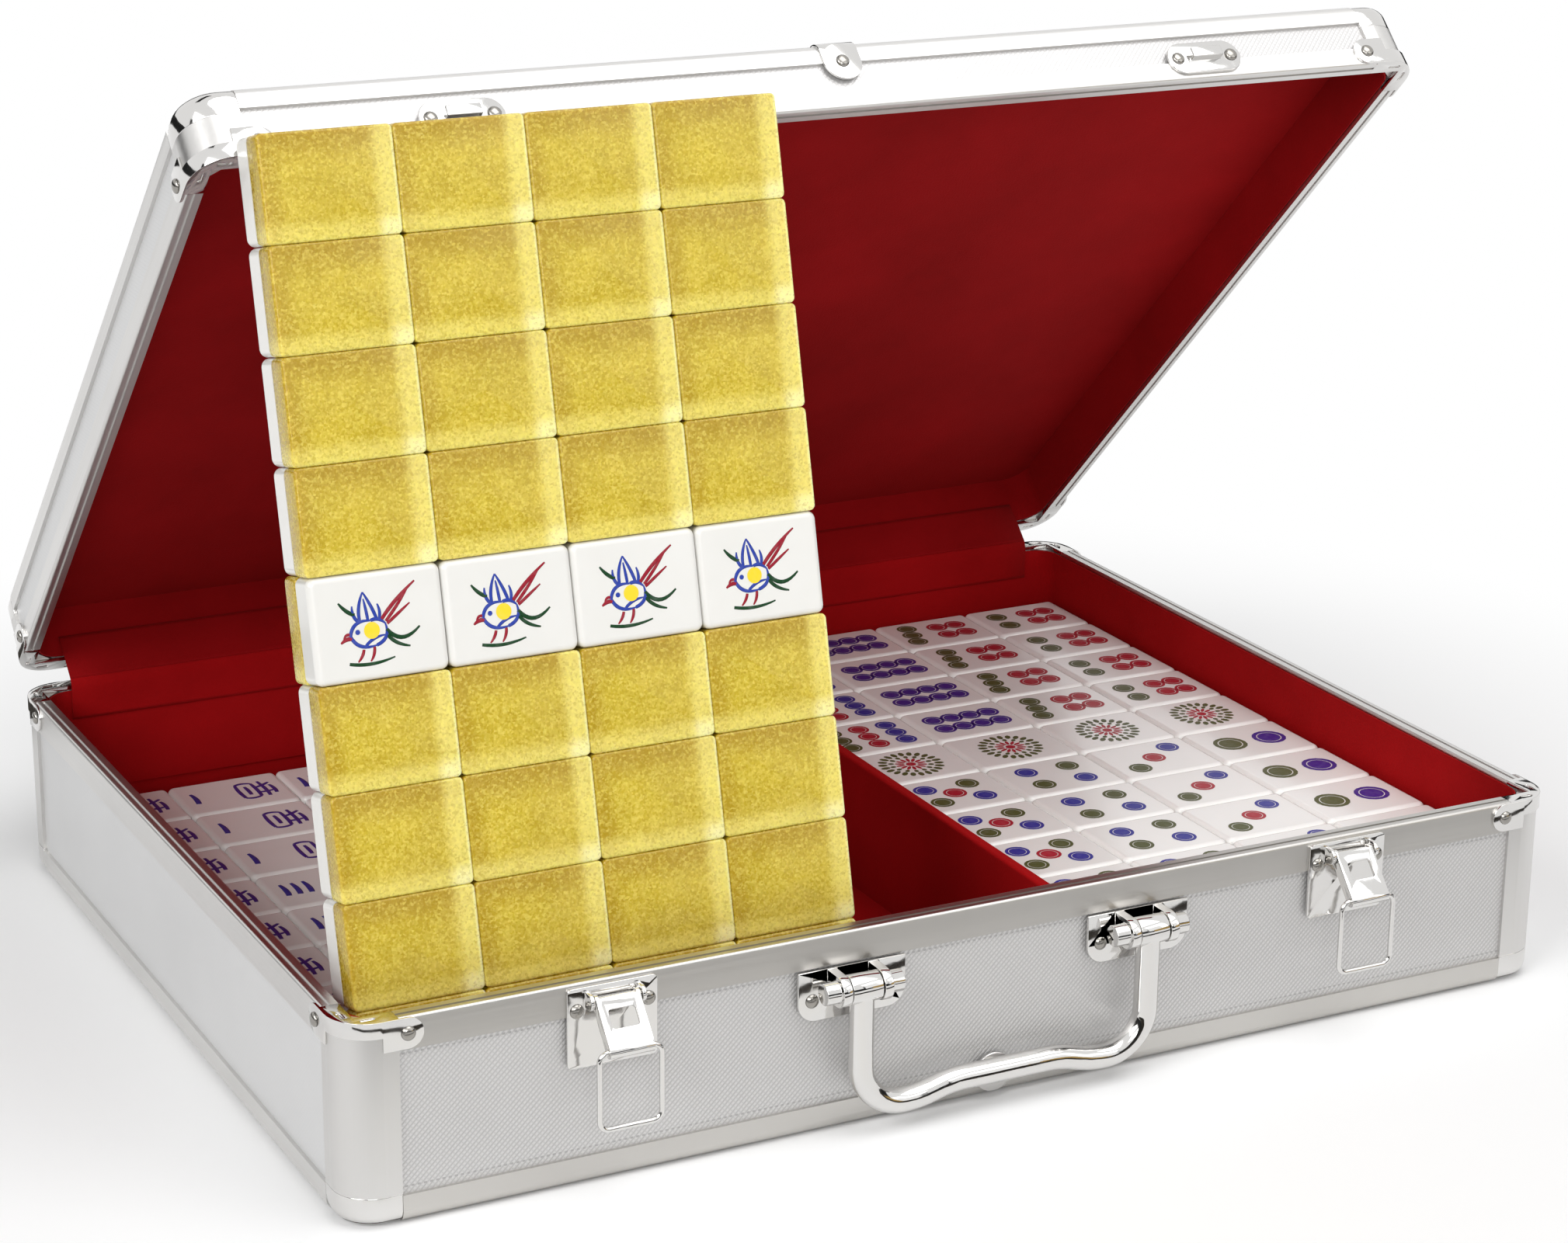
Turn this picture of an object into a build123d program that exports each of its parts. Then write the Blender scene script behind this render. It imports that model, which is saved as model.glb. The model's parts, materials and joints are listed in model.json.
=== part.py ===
from build123d import *
import os
from math import asin, atan, cos, degrees, radians, sin

# Aluminium-framed carrying case for a set of 144 playing tiles, standing open.
# Millimetres. Origin: centre of the face that the base rests on. +X right, -Y front, +Z up.
# The lid is modelled shut and swung open about its hinge pins when it is written.

os.makedirs("parts", exist_ok=True)

# ---------------------------------------------------------------- driving dimensions
# The tiles set the case: four columns on each side of a middle space, nine rows deep, two layers high.
base_headroom = 20.6
lid_height = 24.5
lid_open_angle = 44.5
corner_radius = 12.0
middle_width = 87.4
rows_slack = 27.0

# aluminium rails and corner posts
rail_wall = 1.2
rail_round = 4.0
rail_flange = 13.0
base_rim_leg = 10.0
base_edge_leg = 9.0
lid_rim_leg = 6.5
lid_edge_leg = 8.0
rim_cap = 1.4
rim_round = 1.0
rim_inner_leg = 4.0
groove_start = 2.2
groove_width = 1.0
groove_depth = 0.6
post_leg = 17.0

# boards and red cloth lining
panel_thickness = 3.5
bottom_thickness = 2.5
lining_thickness = 0.8
floor_lining_thickness = 0.5
divider_thickness = 4.0
divider_height = 46.0
divider_gap = 1.0
block_divider_gap = 1.2

# chrome corners, clips and rivets
plate_thickness = 0.8
corner_band = 5.0
corner_leg_reach = 19.5
corner_leg_height = 9.5
cap_height = 9.6
cap_round = 4.6
dimple_length = 4.5
dimple_width = 1.3
dimple_depth = 0.4
dimple_inset = 1.0
clip_width = 12.8
clip_drop = 14.5
clip_return = 9.0
rivet_radius = 2.2
rivet_height = 1.1
rivet_crown = 1.3

# hinges
hinge_behind = 6.5
hinge_below = 4.5
hinge_from_side = 92.0
hinge_width = 44.0
hinge_leaf_height = 16.0
hinge_leaf_thickness = 1.4
knuckle_radius = 3.2
knuckle_gap = 0.3
pin_radius = 1.6
pin_head_radius = 2.6
pin_head_height = 1.2

# draw latches
latch_from_side = 82.0
latch_plate_width = 28.5
latch_plate_height = 25.0
latch_plate_thickness = 1.0
latch_plate_drop = 1.2
latch_plate_round = 1.5
latch_rivet_spacing = 22.6
latch_rivet_drop = 8.2
ear_spread = 7.5
ear_thickness = 1.2
ear_height = 5.0
latch_pivot_out = 3.3
latch_pivot_drop = 5.0
latch_pin_radius = 1.0
lever_tilt = 40.0
lever_width = 14.0
lever_length = 15.5
lever_cheek = 1.1
lever_web = 0.9
lever_depth = 1.8
lever_window_width = 8.6
lever_window_height = 6.0
barrel_radius = 1.9
wire_radius = 0.85
bail_width = 19.6
bail_length = 24.0
bail_corner = 3.0

# lid catches
catch_width = 27.0
catch_bottom = 1.6
catch_height = 11.6
catch_thickness = 1.0
hook_width = 11.0
hook_reach = 3.6
hook_base = 6.2
hook_lip = 9.8
hook_metal = 1.0
catch_rivet_spacing = 20.0

# handle
mount_x = 50.0
mount_width = 36.0
mount_top = 53.6
mount_height = 16.0
mount_thickness = 1.2
mount_round = 6.0
mount_rivet_spacing = 27.0
mount_rivet_drop = 9.4
handle_pivot_z = 48.6
handle_out = 7.2
handle_tube_radius = 3.8
handle_bend_radius = 14.5
handle_drop = 39.6
grip_rise = 3.2
grip_flat = 14.0
eye_radius = 4.6
eye_width = 10.0
handle_pin_radius = 2.0
mount_ear_thickness = 3.0
mount_ear_radius = 4.9
boss_radius = 3.4
boss_span = 26.0

# tiles
tile_long = 40.0
tile_short = 30.8
tile_thick = 19.5
face_layer = 10.1
tile_round = 2.4
tile_gap = 0.2
layer_gap = 0.1
bond_gap = 0.1
tile_columns = 4
tile_rows = 9
shown_face_row = 4
right_wall_gap = 2.5
left_wall_gap = 0.3
back_wall_gap = 8.6
block_side_gap = 5.2
block_lean = 13.7

# clearances
rim_gap = 0.4
seat_gap = 0.05
bearing_gap = 0.05
swing_gap = 0.4
block_foot_gap = 0.3
block_lean_gap = 1.0

# ---------------------------------------------------------------- derived sizes
pitch_x = tile_long + tile_gap
pitch_y = tile_short + tile_gap
grid_width = tile_columns * pitch_x
grid_depth = tile_rows * pitch_y
panel_inner = rail_wall + panel_thickness
rim_width = panel_inner + lining_thickness
panel_inset = corner_radius + 2 * seat_gap
bottom_top = rail_wall + bottom_thickness
floor_z = bottom_top + floor_lining_thickness
lower_z = floor_z + layer_gap
layer_top = lower_z + tile_thick
upper_z = layer_top + layer_gap
case_width = 2 * grid_width + middle_width + 2 * rim_width
case_depth = grid_depth + rows_slack + 2 * rim_width
base_height = upper_z + tile_thick + base_headroom
half_width = case_width / 2
half_depth = case_depth / 2
lid_bottom = base_height + rim_gap
lid_top = lid_bottom + lid_height
hinge_x = half_width - hinge_from_side
latch_x = half_width - latch_from_side
right_tiles_x = half_width - rim_width - right_wall_gap - grid_width / 2
left_tiles_x = grid_width / 2 + left_wall_gap + rim_width - half_width
tiles_y = half_depth - rim_width - back_wall_gap - grid_depth / 2
block_x = left_tiles_x + block_side_gap
right_divider_x = right_tiles_x - grid_width / 2 - divider_gap - divider_thickness / 2
left_divider_x = block_x + grid_width / 2 + block_divider_gap + divider_thickness / 2
front_y = -half_depth
hinge_y = half_depth + hinge_behind
hinge_z = base_height - hinge_below
lid_pose = (
    Location((0, hinge_y, hinge_z))
    * Location((0, 0, 0), (-lid_open_angle, 0, 0))
    * Location((0, -hinge_y, -hinge_z))
)
sides = ("front", "back", "left", "right")


def save(piece, label, pose=Location()):
    """Label a piece, put it in its pose and write it."""
    part = piece.part.moved(pose)
    part.label = label
    export_step(part, f"parts/{label}.step")


def wall_plane(side, inset):
    """Plane across a wall's run: local x points into the case, local y up."""
    origin, inward, along = {
        "front": ((-half_width + inset, -half_depth, 0), (0, 1, 0), (1, 0, 0)),
        "back": ((half_width - inset, half_depth, 0), (0, -1, 0), (-1, 0, 0)),
        "left": ((-half_width, half_depth - inset, 0), (1, 0, 0), (0, -1, 0)),
        "right": ((half_width, -half_depth + inset, 0), (-1, 0, 0), (0, 1, 0)),
    }[side]
    return Plane(origin=origin, x_dir=inward, z_dir=along)


def run_length(side, inset):
    """Length of a wall's straight run between two insets from its corners."""
    return (case_width if side in ("front", "back") else case_depth) - 2 * inset


def near(shape_list, x, y):
    """The vertex of a sketch that lies nearest a point."""
    return shape_list.sort_by_distance(Vector(x, y))[0]


# ---------------------------------------------------------------- walls of a shell
def rim_rail(side, edge, up, leg):
    """Channel over a wall's open edge, with a groove along its face."""
    groove_end = groove_start + groove_width
    outline = [
        (0, leg),
        (0, 0),
        (groove_start, 0),
        (groove_start, groove_depth),
        (groove_end, groove_depth),
        (groove_end, 0),
        (rim_width, 0),
        (rim_width, rim_inner_leg),
        (panel_inner, rim_inner_leg),
        (panel_inner, rim_cap),
        (rail_wall, rim_cap),
        (rail_wall, leg),
    ]
    with BuildPart() as rail:
        with BuildSketch(wall_plane(side, post_leg)) as section:
            with BuildLine():
                Polyline([(v, edge + up * s) for v, s in outline], close=True)
            make_face()
            fillet(near(section.vertices(), 0, edge), rim_round)
        extrude(amount=run_length(side, post_leg))
    return rail


def edge_rail(side, edge, up, leg):
    """Rounded angle along a shell's closed edge."""
    outline = [
        (0, leg),
        (0, 0),
        (rail_flange, 0),
        (rail_flange, rail_wall),
        (rail_wall, rail_wall),
        (rail_wall, leg),
    ]
    with BuildPart() as rail:
        with BuildSketch(wall_plane(side, post_leg)) as section:
            with BuildLine():
                Polyline([(v, edge + up * s) for v, s in outline], close=True)
            make_face()
            fillet(near(section.vertices(), 0, edge), rail_round)
            fillet(
                near(section.vertices(), rail_wall, edge + up * rail_wall),
                rail_round - rail_wall,
            )
        extrude(amount=run_length(side, post_leg))
    return rail


def wall_sheet(side, inset, inner_start, thickness, low, high):
    """Flat board or lining along a wall, between two heights."""
    with BuildPart() as sheet:
        with BuildSketch(wall_plane(side, inset)):
            with Locations((inner_start + thickness / 2, (low + high) / 2)):
                Rectangle(thickness, high - low)
        extrude(amount=run_length(side, inset))
    return sheet


def floor_sheet(inset, low, thickness):
    """Flat board across the whole shell, with its corners inside the rounded posts."""
    with BuildPart() as sheet:
        with BuildSketch(Plane.XY.offset(low)):
            RectangleRounded(
                case_width - 2 * inset, case_depth - 2 * inset, corner_radius - rail_round
            )
        extrude(amount=thickness)
    return sheet


def corner_plan(outline, round_at, radius):
    """Plan of the front left corner from distances in from its two outer faces."""
    with BuildSketch(mode=Mode.PRIVATE) as plan:
        with BuildLine():
            Polyline([(u - half_width, v - half_depth) for u, v in outline], close=True)
        make_face()
        corner = near(plan.vertices(), round_at - half_width, round_at - half_depth)
        fillet(corner, radius)
    return plan.sketch


def mirror_to_corners():
    """Repeat the front left corner's piece at the other three corners."""
    mirror(about=Plane.YZ)
    mirror(about=Plane.XZ)


def corner_posts(low, high):
    """Rounded aluminium posts that join the side boards."""
    inner = panel_inset - seat_gap
    outline = [
        (post_leg, 0),
        (0, 0),
        (0, post_leg),
        (rail_wall, post_leg),
        (rail_wall, inner),
        (panel_inner, inner),
        (inner, panel_inner),
        (inner, rail_wall),
        (post_leg, rail_wall),
    ]
    with BuildPart() as posts:
        with BuildSketch(Plane.XY.offset(low)):
            add(corner_plan(outline, 0, corner_radius))
        extrude(amount=high - low)
        mirror_to_corners()
    return posts


def rim_corners(edge, up):
    """Chrome corners on the rim: a flange, a band round the corner and two legs."""
    band = corner_band * up
    out = -plate_thickness
    leg_end = corner_leg_height / 2
    flange = [
        (post_leg, 0),
        (0, 0),
        (0, post_leg),
        (rim_width, post_leg),
        (rim_width, rim_width),
        (post_leg, rim_width),
    ]
    end = corner_radius + seat_gap
    outer = [(end, out), (out, out), (out, end), (end, end)]
    inner = [(end, 0), (0, 0), (0, end), (end, end)]
    dimple = corner_radius - dimple_length / 2 - dimple_inset
    with BuildPart() as corners:
        with BuildSketch(Plane.XY.offset(edge)):
            add(corner_plan(flange, 0, corner_radius - seat_gap))
        extrude(amount=rim_cap * up)
        with BuildSketch(Plane.XY.offset(edge)):
            add(corner_plan(outer, out, corner_radius + plate_thickness))
            add(corner_plan(inner, 0, corner_radius), mode=Mode.SUBTRACT)
        extrude(amount=band)
        for side, sign in (("front", 1), ("left", -1)):
            face = {
                "front": Plane((-half_width, -half_depth, edge), x_dir=(1, 0, 0), z_dir=(0, -1, 0)),
                "left": Plane((-half_width, -half_depth, edge), x_dir=(0, -1, 0), z_dir=(-1, 0, 0)),
            }[side]
            middle = (corner_radius + corner_leg_reach) / 2
            with BuildSketch(face):
                with Locations((sign * middle, up * leg_end)):
                    Rectangle(corner_leg_reach - corner_radius, corner_leg_height)
                with Locations((sign * corner_leg_reach, up * leg_end)):
                    Circle(leg_end)
            extrude(amount=plate_thickness)
        with BuildSketch(Plane.XY.offset(edge)):
            with Locations((dimple - half_width, rim_width / 2 - half_depth)):
                SlotOverall(dimple_length, dimple_width)
            with Locations((rim_width / 2 - half_width, dimple - half_depth)):
                SlotOverall(dimple_length, dimple_width, rotation=90)
        extrude(amount=dimple_depth * up, mode=Mode.SUBTRACT)
        mirror_to_corners()
    return corners


def edge_corners(edge, up):
    """Chrome caps over the corners of a shell's closed edge."""
    outer = [(post_leg, 0), (0, 0), (0, post_leg), (post_leg, post_leg)]
    inner = [
        (post_leg, rail_wall),
        (rail_wall, rail_wall),
        (rail_wall, post_leg),
        (post_leg, post_leg),
    ]
    with BuildPart() as caps:
        with BuildSketch(Plane.XY.offset(edge)):
            add(corner_plan(outer, 0, corner_radius))
        extrude(amount=cap_height * up)
        rim = caps.edges().sort_by_distance(Vector(-half_width, -half_depth, edge))
        skirt = [
            e
            for e in rim
            if abs((e @ 0.5).Z - edge) < seat_gap
            and min((e @ 0.5).X + half_width, (e @ 0.5).Y + half_depth) < corner_radius / 2
        ]
        fillet(skirt, cap_round)
        with BuildSketch(Plane.XY.offset(edge + up * rail_wall)):
            add(corner_plan(inner, rail_wall, corner_radius - rail_wall))
        extrude(amount=cap_height * up, mode=Mode.SUBTRACT)
        mirror_to_corners()
    return caps


def clip_face(edge, up, start):
    """Round-ended strap on the front face, from a distance in from a shell's closed edge."""
    length = clip_drop - clip_width / 2 - start
    face = Plane((0, front_y, edge), x_dir=(1, 0, 0), z_dir=(0, -1, 0))
    with BuildPart() as strap:
        with BuildSketch(face):
            with Locations((0, up * (start + length / 2))):
                Rectangle(clip_width, length)
            with Locations((0, up * (start + length))):
                Circle(clip_width / 2)
        extrude(amount=plate_thickness)
    return strap


def folded_clip(edge, up):
    """Strap clip folded over the closed edge at the middle of the front."""
    t = plate_thickness
    outline = [(0, rail_round), (0, 0), (clip_return, 0), (clip_return, -t), (-t, -t), (-t, rail_round)]
    with BuildPart() as clip:
        with BuildSketch(Plane.YZ.offset(-clip_width / 2)) as section:
            with BuildLine():
                Polyline([(v - half_depth, edge + up * s) for v, s in outline], close=True)
            make_face()
            fillet(near(section.vertices(), -half_depth, edge), rail_round - seat_gap)
            fillet(near(section.vertices(), -half_depth - t, edge - up * t), rail_round + t - seat_gap)
        extrude(amount=clip_width)
        add(clip_face(edge, up, rail_round).part)
    return clip


def rivet_heads(places):
    """Crowned rivet heads at (position, outward direction)."""
    with BuildPart() as heads:
        with Locations(*[Plane(origin=p, z_dir=n).location for p, n in places]):
            Cone(
                rivet_radius,
                rivet_crown,
                rivet_height,
                align=(Align.CENTER, Align.CENTER, Align.MIN),
            )
    return heads


def corner_rivets(edge, up):
    """Places of the rivets in the rim corners' legs."""
    z = edge + up * corner_leg_height / 2
    u = half_width - corner_leg_reach
    v = half_depth - corner_leg_reach
    t = plate_thickness
    places = []
    for sx in (-1, 1):
        for sy in (-1, 1):
            places.append(((sx * u, sy * (half_depth + t), z), (0, sy, 0)))
            places.append(((sx * (half_width + t), sy * v, z), (sx, 0, 0)))
    return places


# ---------------------------------------------------------------- base shell
for side in sides:
    save(rim_rail(side, base_height, -1, base_rim_leg), f"base_rim_rail_{side}")
    save(edge_rail(side, 0, 1, base_edge_leg), f"base_bottom_rail_{side}")
    board = wall_sheet(
        side, panel_inset, rail_wall, panel_thickness, rail_round, base_height - rim_cap
    )
    save(board, f"base_panel_{side}")

save(corner_posts(cap_height, base_height - rim_cap), "base_corner_posts")
save(rim_corners(base_height, -1), "base_rim_corners")
save(edge_corners(0, 1), "base_bottom_caps")
with BuildPart() as base_bottom_panel:
    add(floor_sheet(rail_round, rail_wall, bottom_thickness).part)
    add(floor_sheet(post_leg + swing_gap, 0, rail_wall).part)
save(base_bottom_panel, "base_bottom_panel")
save(clip_face(0, 1, rail_round), "base_front_clip")

lining_top = base_height - rim_inner_leg
with BuildPart() as base_lining:
    for side in sides:
        sheet = wall_sheet(
            side, panel_inset, panel_inner, lining_thickness, bottom_top, lining_top
        )
        add(sheet.part)
    add(floor_sheet(rim_width + seat_gap, bottom_top, floor_lining_thickness).part)
save(base_lining, "base_lining")


def divider(x):
    """Cloth-covered board from the front wall to the back wall."""
    length = case_depth - 2 * (rim_width + seat_gap)
    with BuildPart() as board:
        with BuildSketch(Plane.XY.offset(floor_z)):
            with Locations((x, 0)):
                Rectangle(divider_thickness, length)
        extrude(amount=divider_height)
        top = board.faces().sort_by(Axis.Z)[-1]
        fillet(top.edges().filter_by(Axis.Y), divider_thickness / 4)
    return board


save(divider(left_divider_x), "divider_left")
save(divider(right_divider_x), "divider_right")

# ---------------------------------------------------------------- lid shell
for side in sides:
    save(rim_rail(side, lid_bottom, 1, lid_rim_leg), f"lid_rim_rail_{side}", lid_pose)
    save(edge_rail(side, lid_top, -1, lid_edge_leg), f"lid_top_rail_{side}", lid_pose)
    board = wall_sheet(
        side,
        panel_inset,
        rail_wall,
        panel_thickness,
        lid_bottom + rim_cap,
        lid_top - rail_round,
    )
    save(board, f"lid_panel_{side}", lid_pose)

save(corner_posts(lid_bottom + rim_cap, lid_top - cap_height), "lid_corner_posts", lid_pose)
save(rim_corners(lid_bottom, 1), "lid_rim_corners", lid_pose)
save(edge_corners(lid_top, -1), "lid_top_caps", lid_pose)
lid_board_low = lid_top - rail_wall - bottom_thickness
save(floor_sheet(rail_round, lid_board_low, bottom_thickness), "lid_top_panel", lid_pose)
save(folded_clip(lid_top, -1), "lid_front_clip", lid_pose)

lid_lining_low = lid_bottom + rim_inner_leg
lid_lining_ceiling = lid_board_low - floor_lining_thickness
with BuildPart() as lid_lining:
    for side in sides:
        sheet = wall_sheet(
            side, panel_inset, panel_inner, lining_thickness, lid_lining_low, lid_board_low
        )
        add(sheet.part)
    add(floor_sheet(rim_width + seat_gap, lid_lining_ceiling, floor_lining_thickness).part)
save(lid_lining, "lid_lining", lid_pose)

# ---------------------------------------------------------------- hinges
knuckle = (hinge_width - 2 * knuckle_gap) / 3


def hinge_leaf(x, spans, leaf_low, leaf_high):
    """Leaf on the back wall with an arm and a bored knuckle on each span of the pin."""
    root = leaf_high if leaf_high < hinge_z else leaf_low
    tip = root - hinge_z
    tip_edge = tip + (hinge_leaf_thickness if tip > 0 else -hinge_leaf_thickness)
    arm = [
        (half_depth, hinge_z + tip),
        (half_depth, hinge_z + tip_edge * 2),
        (half_depth + hinge_leaf_thickness, hinge_z + tip_edge * 2),
        (hinge_y + knuckle_radius * 0.6, hinge_z + knuckle_radius * (0.6 if tip > 0 else -0.6)),
        (hinge_y - knuckle_radius * 0.6, hinge_z + knuckle_radius * (0.6 if tip > 0 else -0.6)),
        (half_depth + hinge_leaf_thickness, hinge_z + tip),
    ]
    with BuildPart() as leaf:
        with BuildSketch(Plane.XZ.offset(-half_depth)):
            with Locations((x, (leaf_low + leaf_high) / 2)):
                Rectangle(hinge_width, leaf_high - leaf_low)
        extrude(amount=-hinge_leaf_thickness)
        for start, end in spans:
            with BuildSketch(Plane.YZ.offset(x + start)):
                with BuildLine():
                    Polyline(arm, close=True)
                make_face()
                with Locations((hinge_y, hinge_z)):
                    Circle(knuckle_radius)
            extrude(amount=end - start)
            with BuildSketch(Plane.YZ.offset(x + start)):
                with Locations((hinge_y, hinge_z)):
                    Circle(pin_radius + bearing_gap)
            extrude(amount=end - start, mode=Mode.SUBTRACT)
    return leaf


half_hinge = hinge_width / 2
outer_spans = [(-half_hinge, -half_hinge + knuckle), (half_hinge - knuckle, half_hinge)]
middle_span = [(-knuckle / 2, knuckle / 2)]
with BuildPart() as base_hinge_leaves:
    for x in (-hinge_x, hinge_x):
        low = hinge_z - knuckle_radius - hinge_leaf_height
        add(hinge_leaf(x, outer_spans, low, hinge_z - knuckle_radius).part)
save(base_hinge_leaves, "base_hinge_leaves")

with BuildPart() as lid_hinge_leaves:
    for x in (-hinge_x, hinge_x):
        low = lid_bottom + rim_cap
        add(hinge_leaf(x, middle_span, low, low + hinge_leaf_height).part)
save(lid_hinge_leaves, "lid_hinge_leaves", lid_pose)

with BuildPart() as hinge_pins:
    for x in (-hinge_x, hinge_x):
        with BuildSketch(Plane.YZ.offset(x - half_hinge - swing_gap)):
            with Locations((hinge_y, hinge_z)):
                Circle(pin_radius)
        extrude(amount=hinge_width + 2 * swing_gap)
        for end in (-half_hinge - swing_gap - pin_head_height, half_hinge + swing_gap):
            with BuildSketch(Plane.YZ.offset(x + end)):
                with Locations((hinge_y, hinge_z)):
                    Circle(pin_head_radius)
            extrude(amount=pin_head_height)
save(hinge_pins, "hinge_pins")

# ---------------------------------------------------------------- latches
latch_pivot = (front_y - latch_pivot_out, base_height - latch_pivot_drop)


def latch_plate(x):
    """Riveted plate with two ears and the lever's pin across them."""
    face = Plane((x, front_y, base_height), x_dir=(1, 0, 0), z_dir=(0, -1, 0))
    ear_out = latch_pivot_out + ear_height / 2 - latch_plate_thickness
    with BuildPart() as plate:
        with BuildSketch(face):
            with Locations((0, -latch_plate_drop - latch_plate_height / 2)):
                RectangleRounded(latch_plate_width, latch_plate_height, latch_plate_round)
        extrude(amount=latch_plate_thickness)
        for start in (-ear_spread - ear_thickness, ear_spread):
            with BuildSketch(Plane.YZ.offset(x + start)):
                with Locations(latch_pivot):
                    Circle(ear_height / 2)
                with Locations((front_y - latch_pivot_out / 2, latch_pivot[1])):
                    Rectangle(latch_pivot_out, ear_height)
            extrude(amount=ear_thickness)
        with BuildSketch(Plane.YZ.offset(x - ear_spread)):
            with Locations(latch_pivot):
                Circle(latch_pin_radius)
        extrude(amount=2 * ear_spread)
    return plate


tilt = radians(lever_tilt)
barrel_y = latch_pivot[0] - lever_length * sin(tilt)
barrel_z = latch_pivot[1] - lever_length * cos(tilt)


def latch_lever(x):
    """Sheet lever with two cheeks, a window and a rolled barrel for the wire."""
    frame = Plane(
        (x, latch_pivot[0], latch_pivot[1]), x_dir=(1, 0, 0), z_dir=(0, -cos(tilt), sin(tilt))
    )
    side_view = Plane(frame.origin, x_dir=frame.y_dir, z_dir=(1, 0, 0))
    half = lever_width / 2
    with BuildPart() as lever:
        for start in (-half, half - lever_cheek):
            with BuildSketch(side_view.offset(start)):
                with Locations((-lever_length / 2, 0)):
                    SlotCenterToCenter(lever_length, 2 * lever_depth)
            extrude(amount=lever_cheek)
        with BuildSketch(side_view.offset(-half)):
            with Locations((-lever_length / 2, lever_depth - lever_web / 2)):
                Rectangle(lever_length, lever_web)
            with Locations((-lever_length, 0)):
                Circle(barrel_radius)
        extrude(amount=lever_width)
        with BuildSketch(frame):
            with Locations((0, -lever_length * 0.42)):
                RectangleRounded(lever_window_width, lever_window_height, 1.0)
        extrude(amount=lever_depth * 2, mode=Mode.SUBTRACT)
        with BuildSketch(side_view.offset(-half)):
            Circle(latch_pin_radius + bearing_gap)
            with Locations((-lever_length, 0)):
                Circle(wire_radius + bearing_gap)
        extrude(amount=lever_width, mode=Mode.SUBTRACT)
    return lever


def latch_bail(x):
    """Closed wire loop that hangs from the lever's barrel."""
    plane = Plane((x, barrel_y, barrel_z), x_dir=(1, 0, 0), z_dir=(0, -1, 0))
    half = bail_width / 2
    corners = [(0, 0), (half, 0), (half, -bail_length), (-half, -bail_length), (-half, 0)]
    with BuildPart() as bail:
        with BuildLine(plane) as path:
            FilletPolyline(corners, radius=(0, bail_corner, bail_corner, bail_corner, bail_corner),
                           close=True)
        with BuildSketch(Plane(origin=path.line @ 0, z_dir=path.line % 0)):
            Circle(wire_radius)
        sweep()
    return bail


for side, x in (("left", -latch_x), ("right", latch_x)):
    save(latch_plate(x), f"latch_plate_{side}")
    save(latch_lever(x), f"latch_lever_{side}")
    save(latch_bail(x), f"latch_bail_{side}")


def lid_catch(x):
    """Plate on the lid's front with a hook for the latch's wire."""
    face = Plane((x, front_y, lid_bottom), x_dir=(1, 0, 0), z_dir=(0, -1, 0))
    hook = [
        (0, hook_base),
        (hook_reach, hook_base),
        (hook_reach, hook_lip),
        (hook_reach - hook_metal, hook_lip),
        (hook_reach - hook_metal, hook_base + hook_metal),
        (0, hook_base + hook_metal),
    ]
    with BuildPart() as catch:
        with BuildSketch(face):
            with Locations((0, catch_bottom + catch_height / 2)):
                SlotOverall(catch_width, catch_height)
        extrude(amount=catch_thickness)
        with BuildSketch(Plane.YZ.offset(x - hook_width / 2)):
            with BuildLine():
                Polyline([(front_y - o, lid_bottom + s) for o, s in hook], close=True)
            make_face()
        extrude(amount=hook_width)
    return catch


for side, x in (("left", -latch_x), ("right", latch_x)):
    save(lid_catch(x), f"lid_catch_{side}", lid_pose)

# ---------------------------------------------------------------- handle
with BuildPart() as handle_mounts:
    for x in (-mount_x, mount_x):
        face = Plane((x, front_y, mount_top), x_dir=(1, 0, 0), z_dir=(0, -1, 0))
        with BuildSketch(face) as outline:
            with Locations((0, -mount_height / 2)):
                Rectangle(mount_width, mount_height)
            fillet(outline.vertices().group_by(Axis.Y)[0], mount_round)
        extrude(amount=mount_thickness)
        ear_start = eye_width / 2 + swing_gap
        for start in (-ear_start - mount_ear_thickness, ear_start):
            with BuildSketch(Plane.YZ.offset(x + start)):
                with Locations((front_y - handle_out, handle_pivot_z)):
                    Circle(mount_ear_radius)
                with Locations((front_y - handle_out / 2, handle_pivot_z)):
                    Rectangle(handle_out, 2 * mount_ear_radius)
            extrude(amount=mount_ear_thickness)
        for start in (-boss_span / 2, ear_start):
            with BuildSketch(Plane.YZ.offset(x + start)):
                with Locations((front_y - handle_out, handle_pivot_z)):
                    Circle(boss_radius)
            extrude(amount=boss_span / 2 - ear_start)
        with BuildSketch(Plane.YZ.offset(x - ear_start)):
            with Locations((front_y - handle_out, handle_pivot_z)):
                Circle(handle_pin_radius)
        extrude(amount=2 * ear_start)
save(handle_mounts, "handle_mounts")

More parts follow.
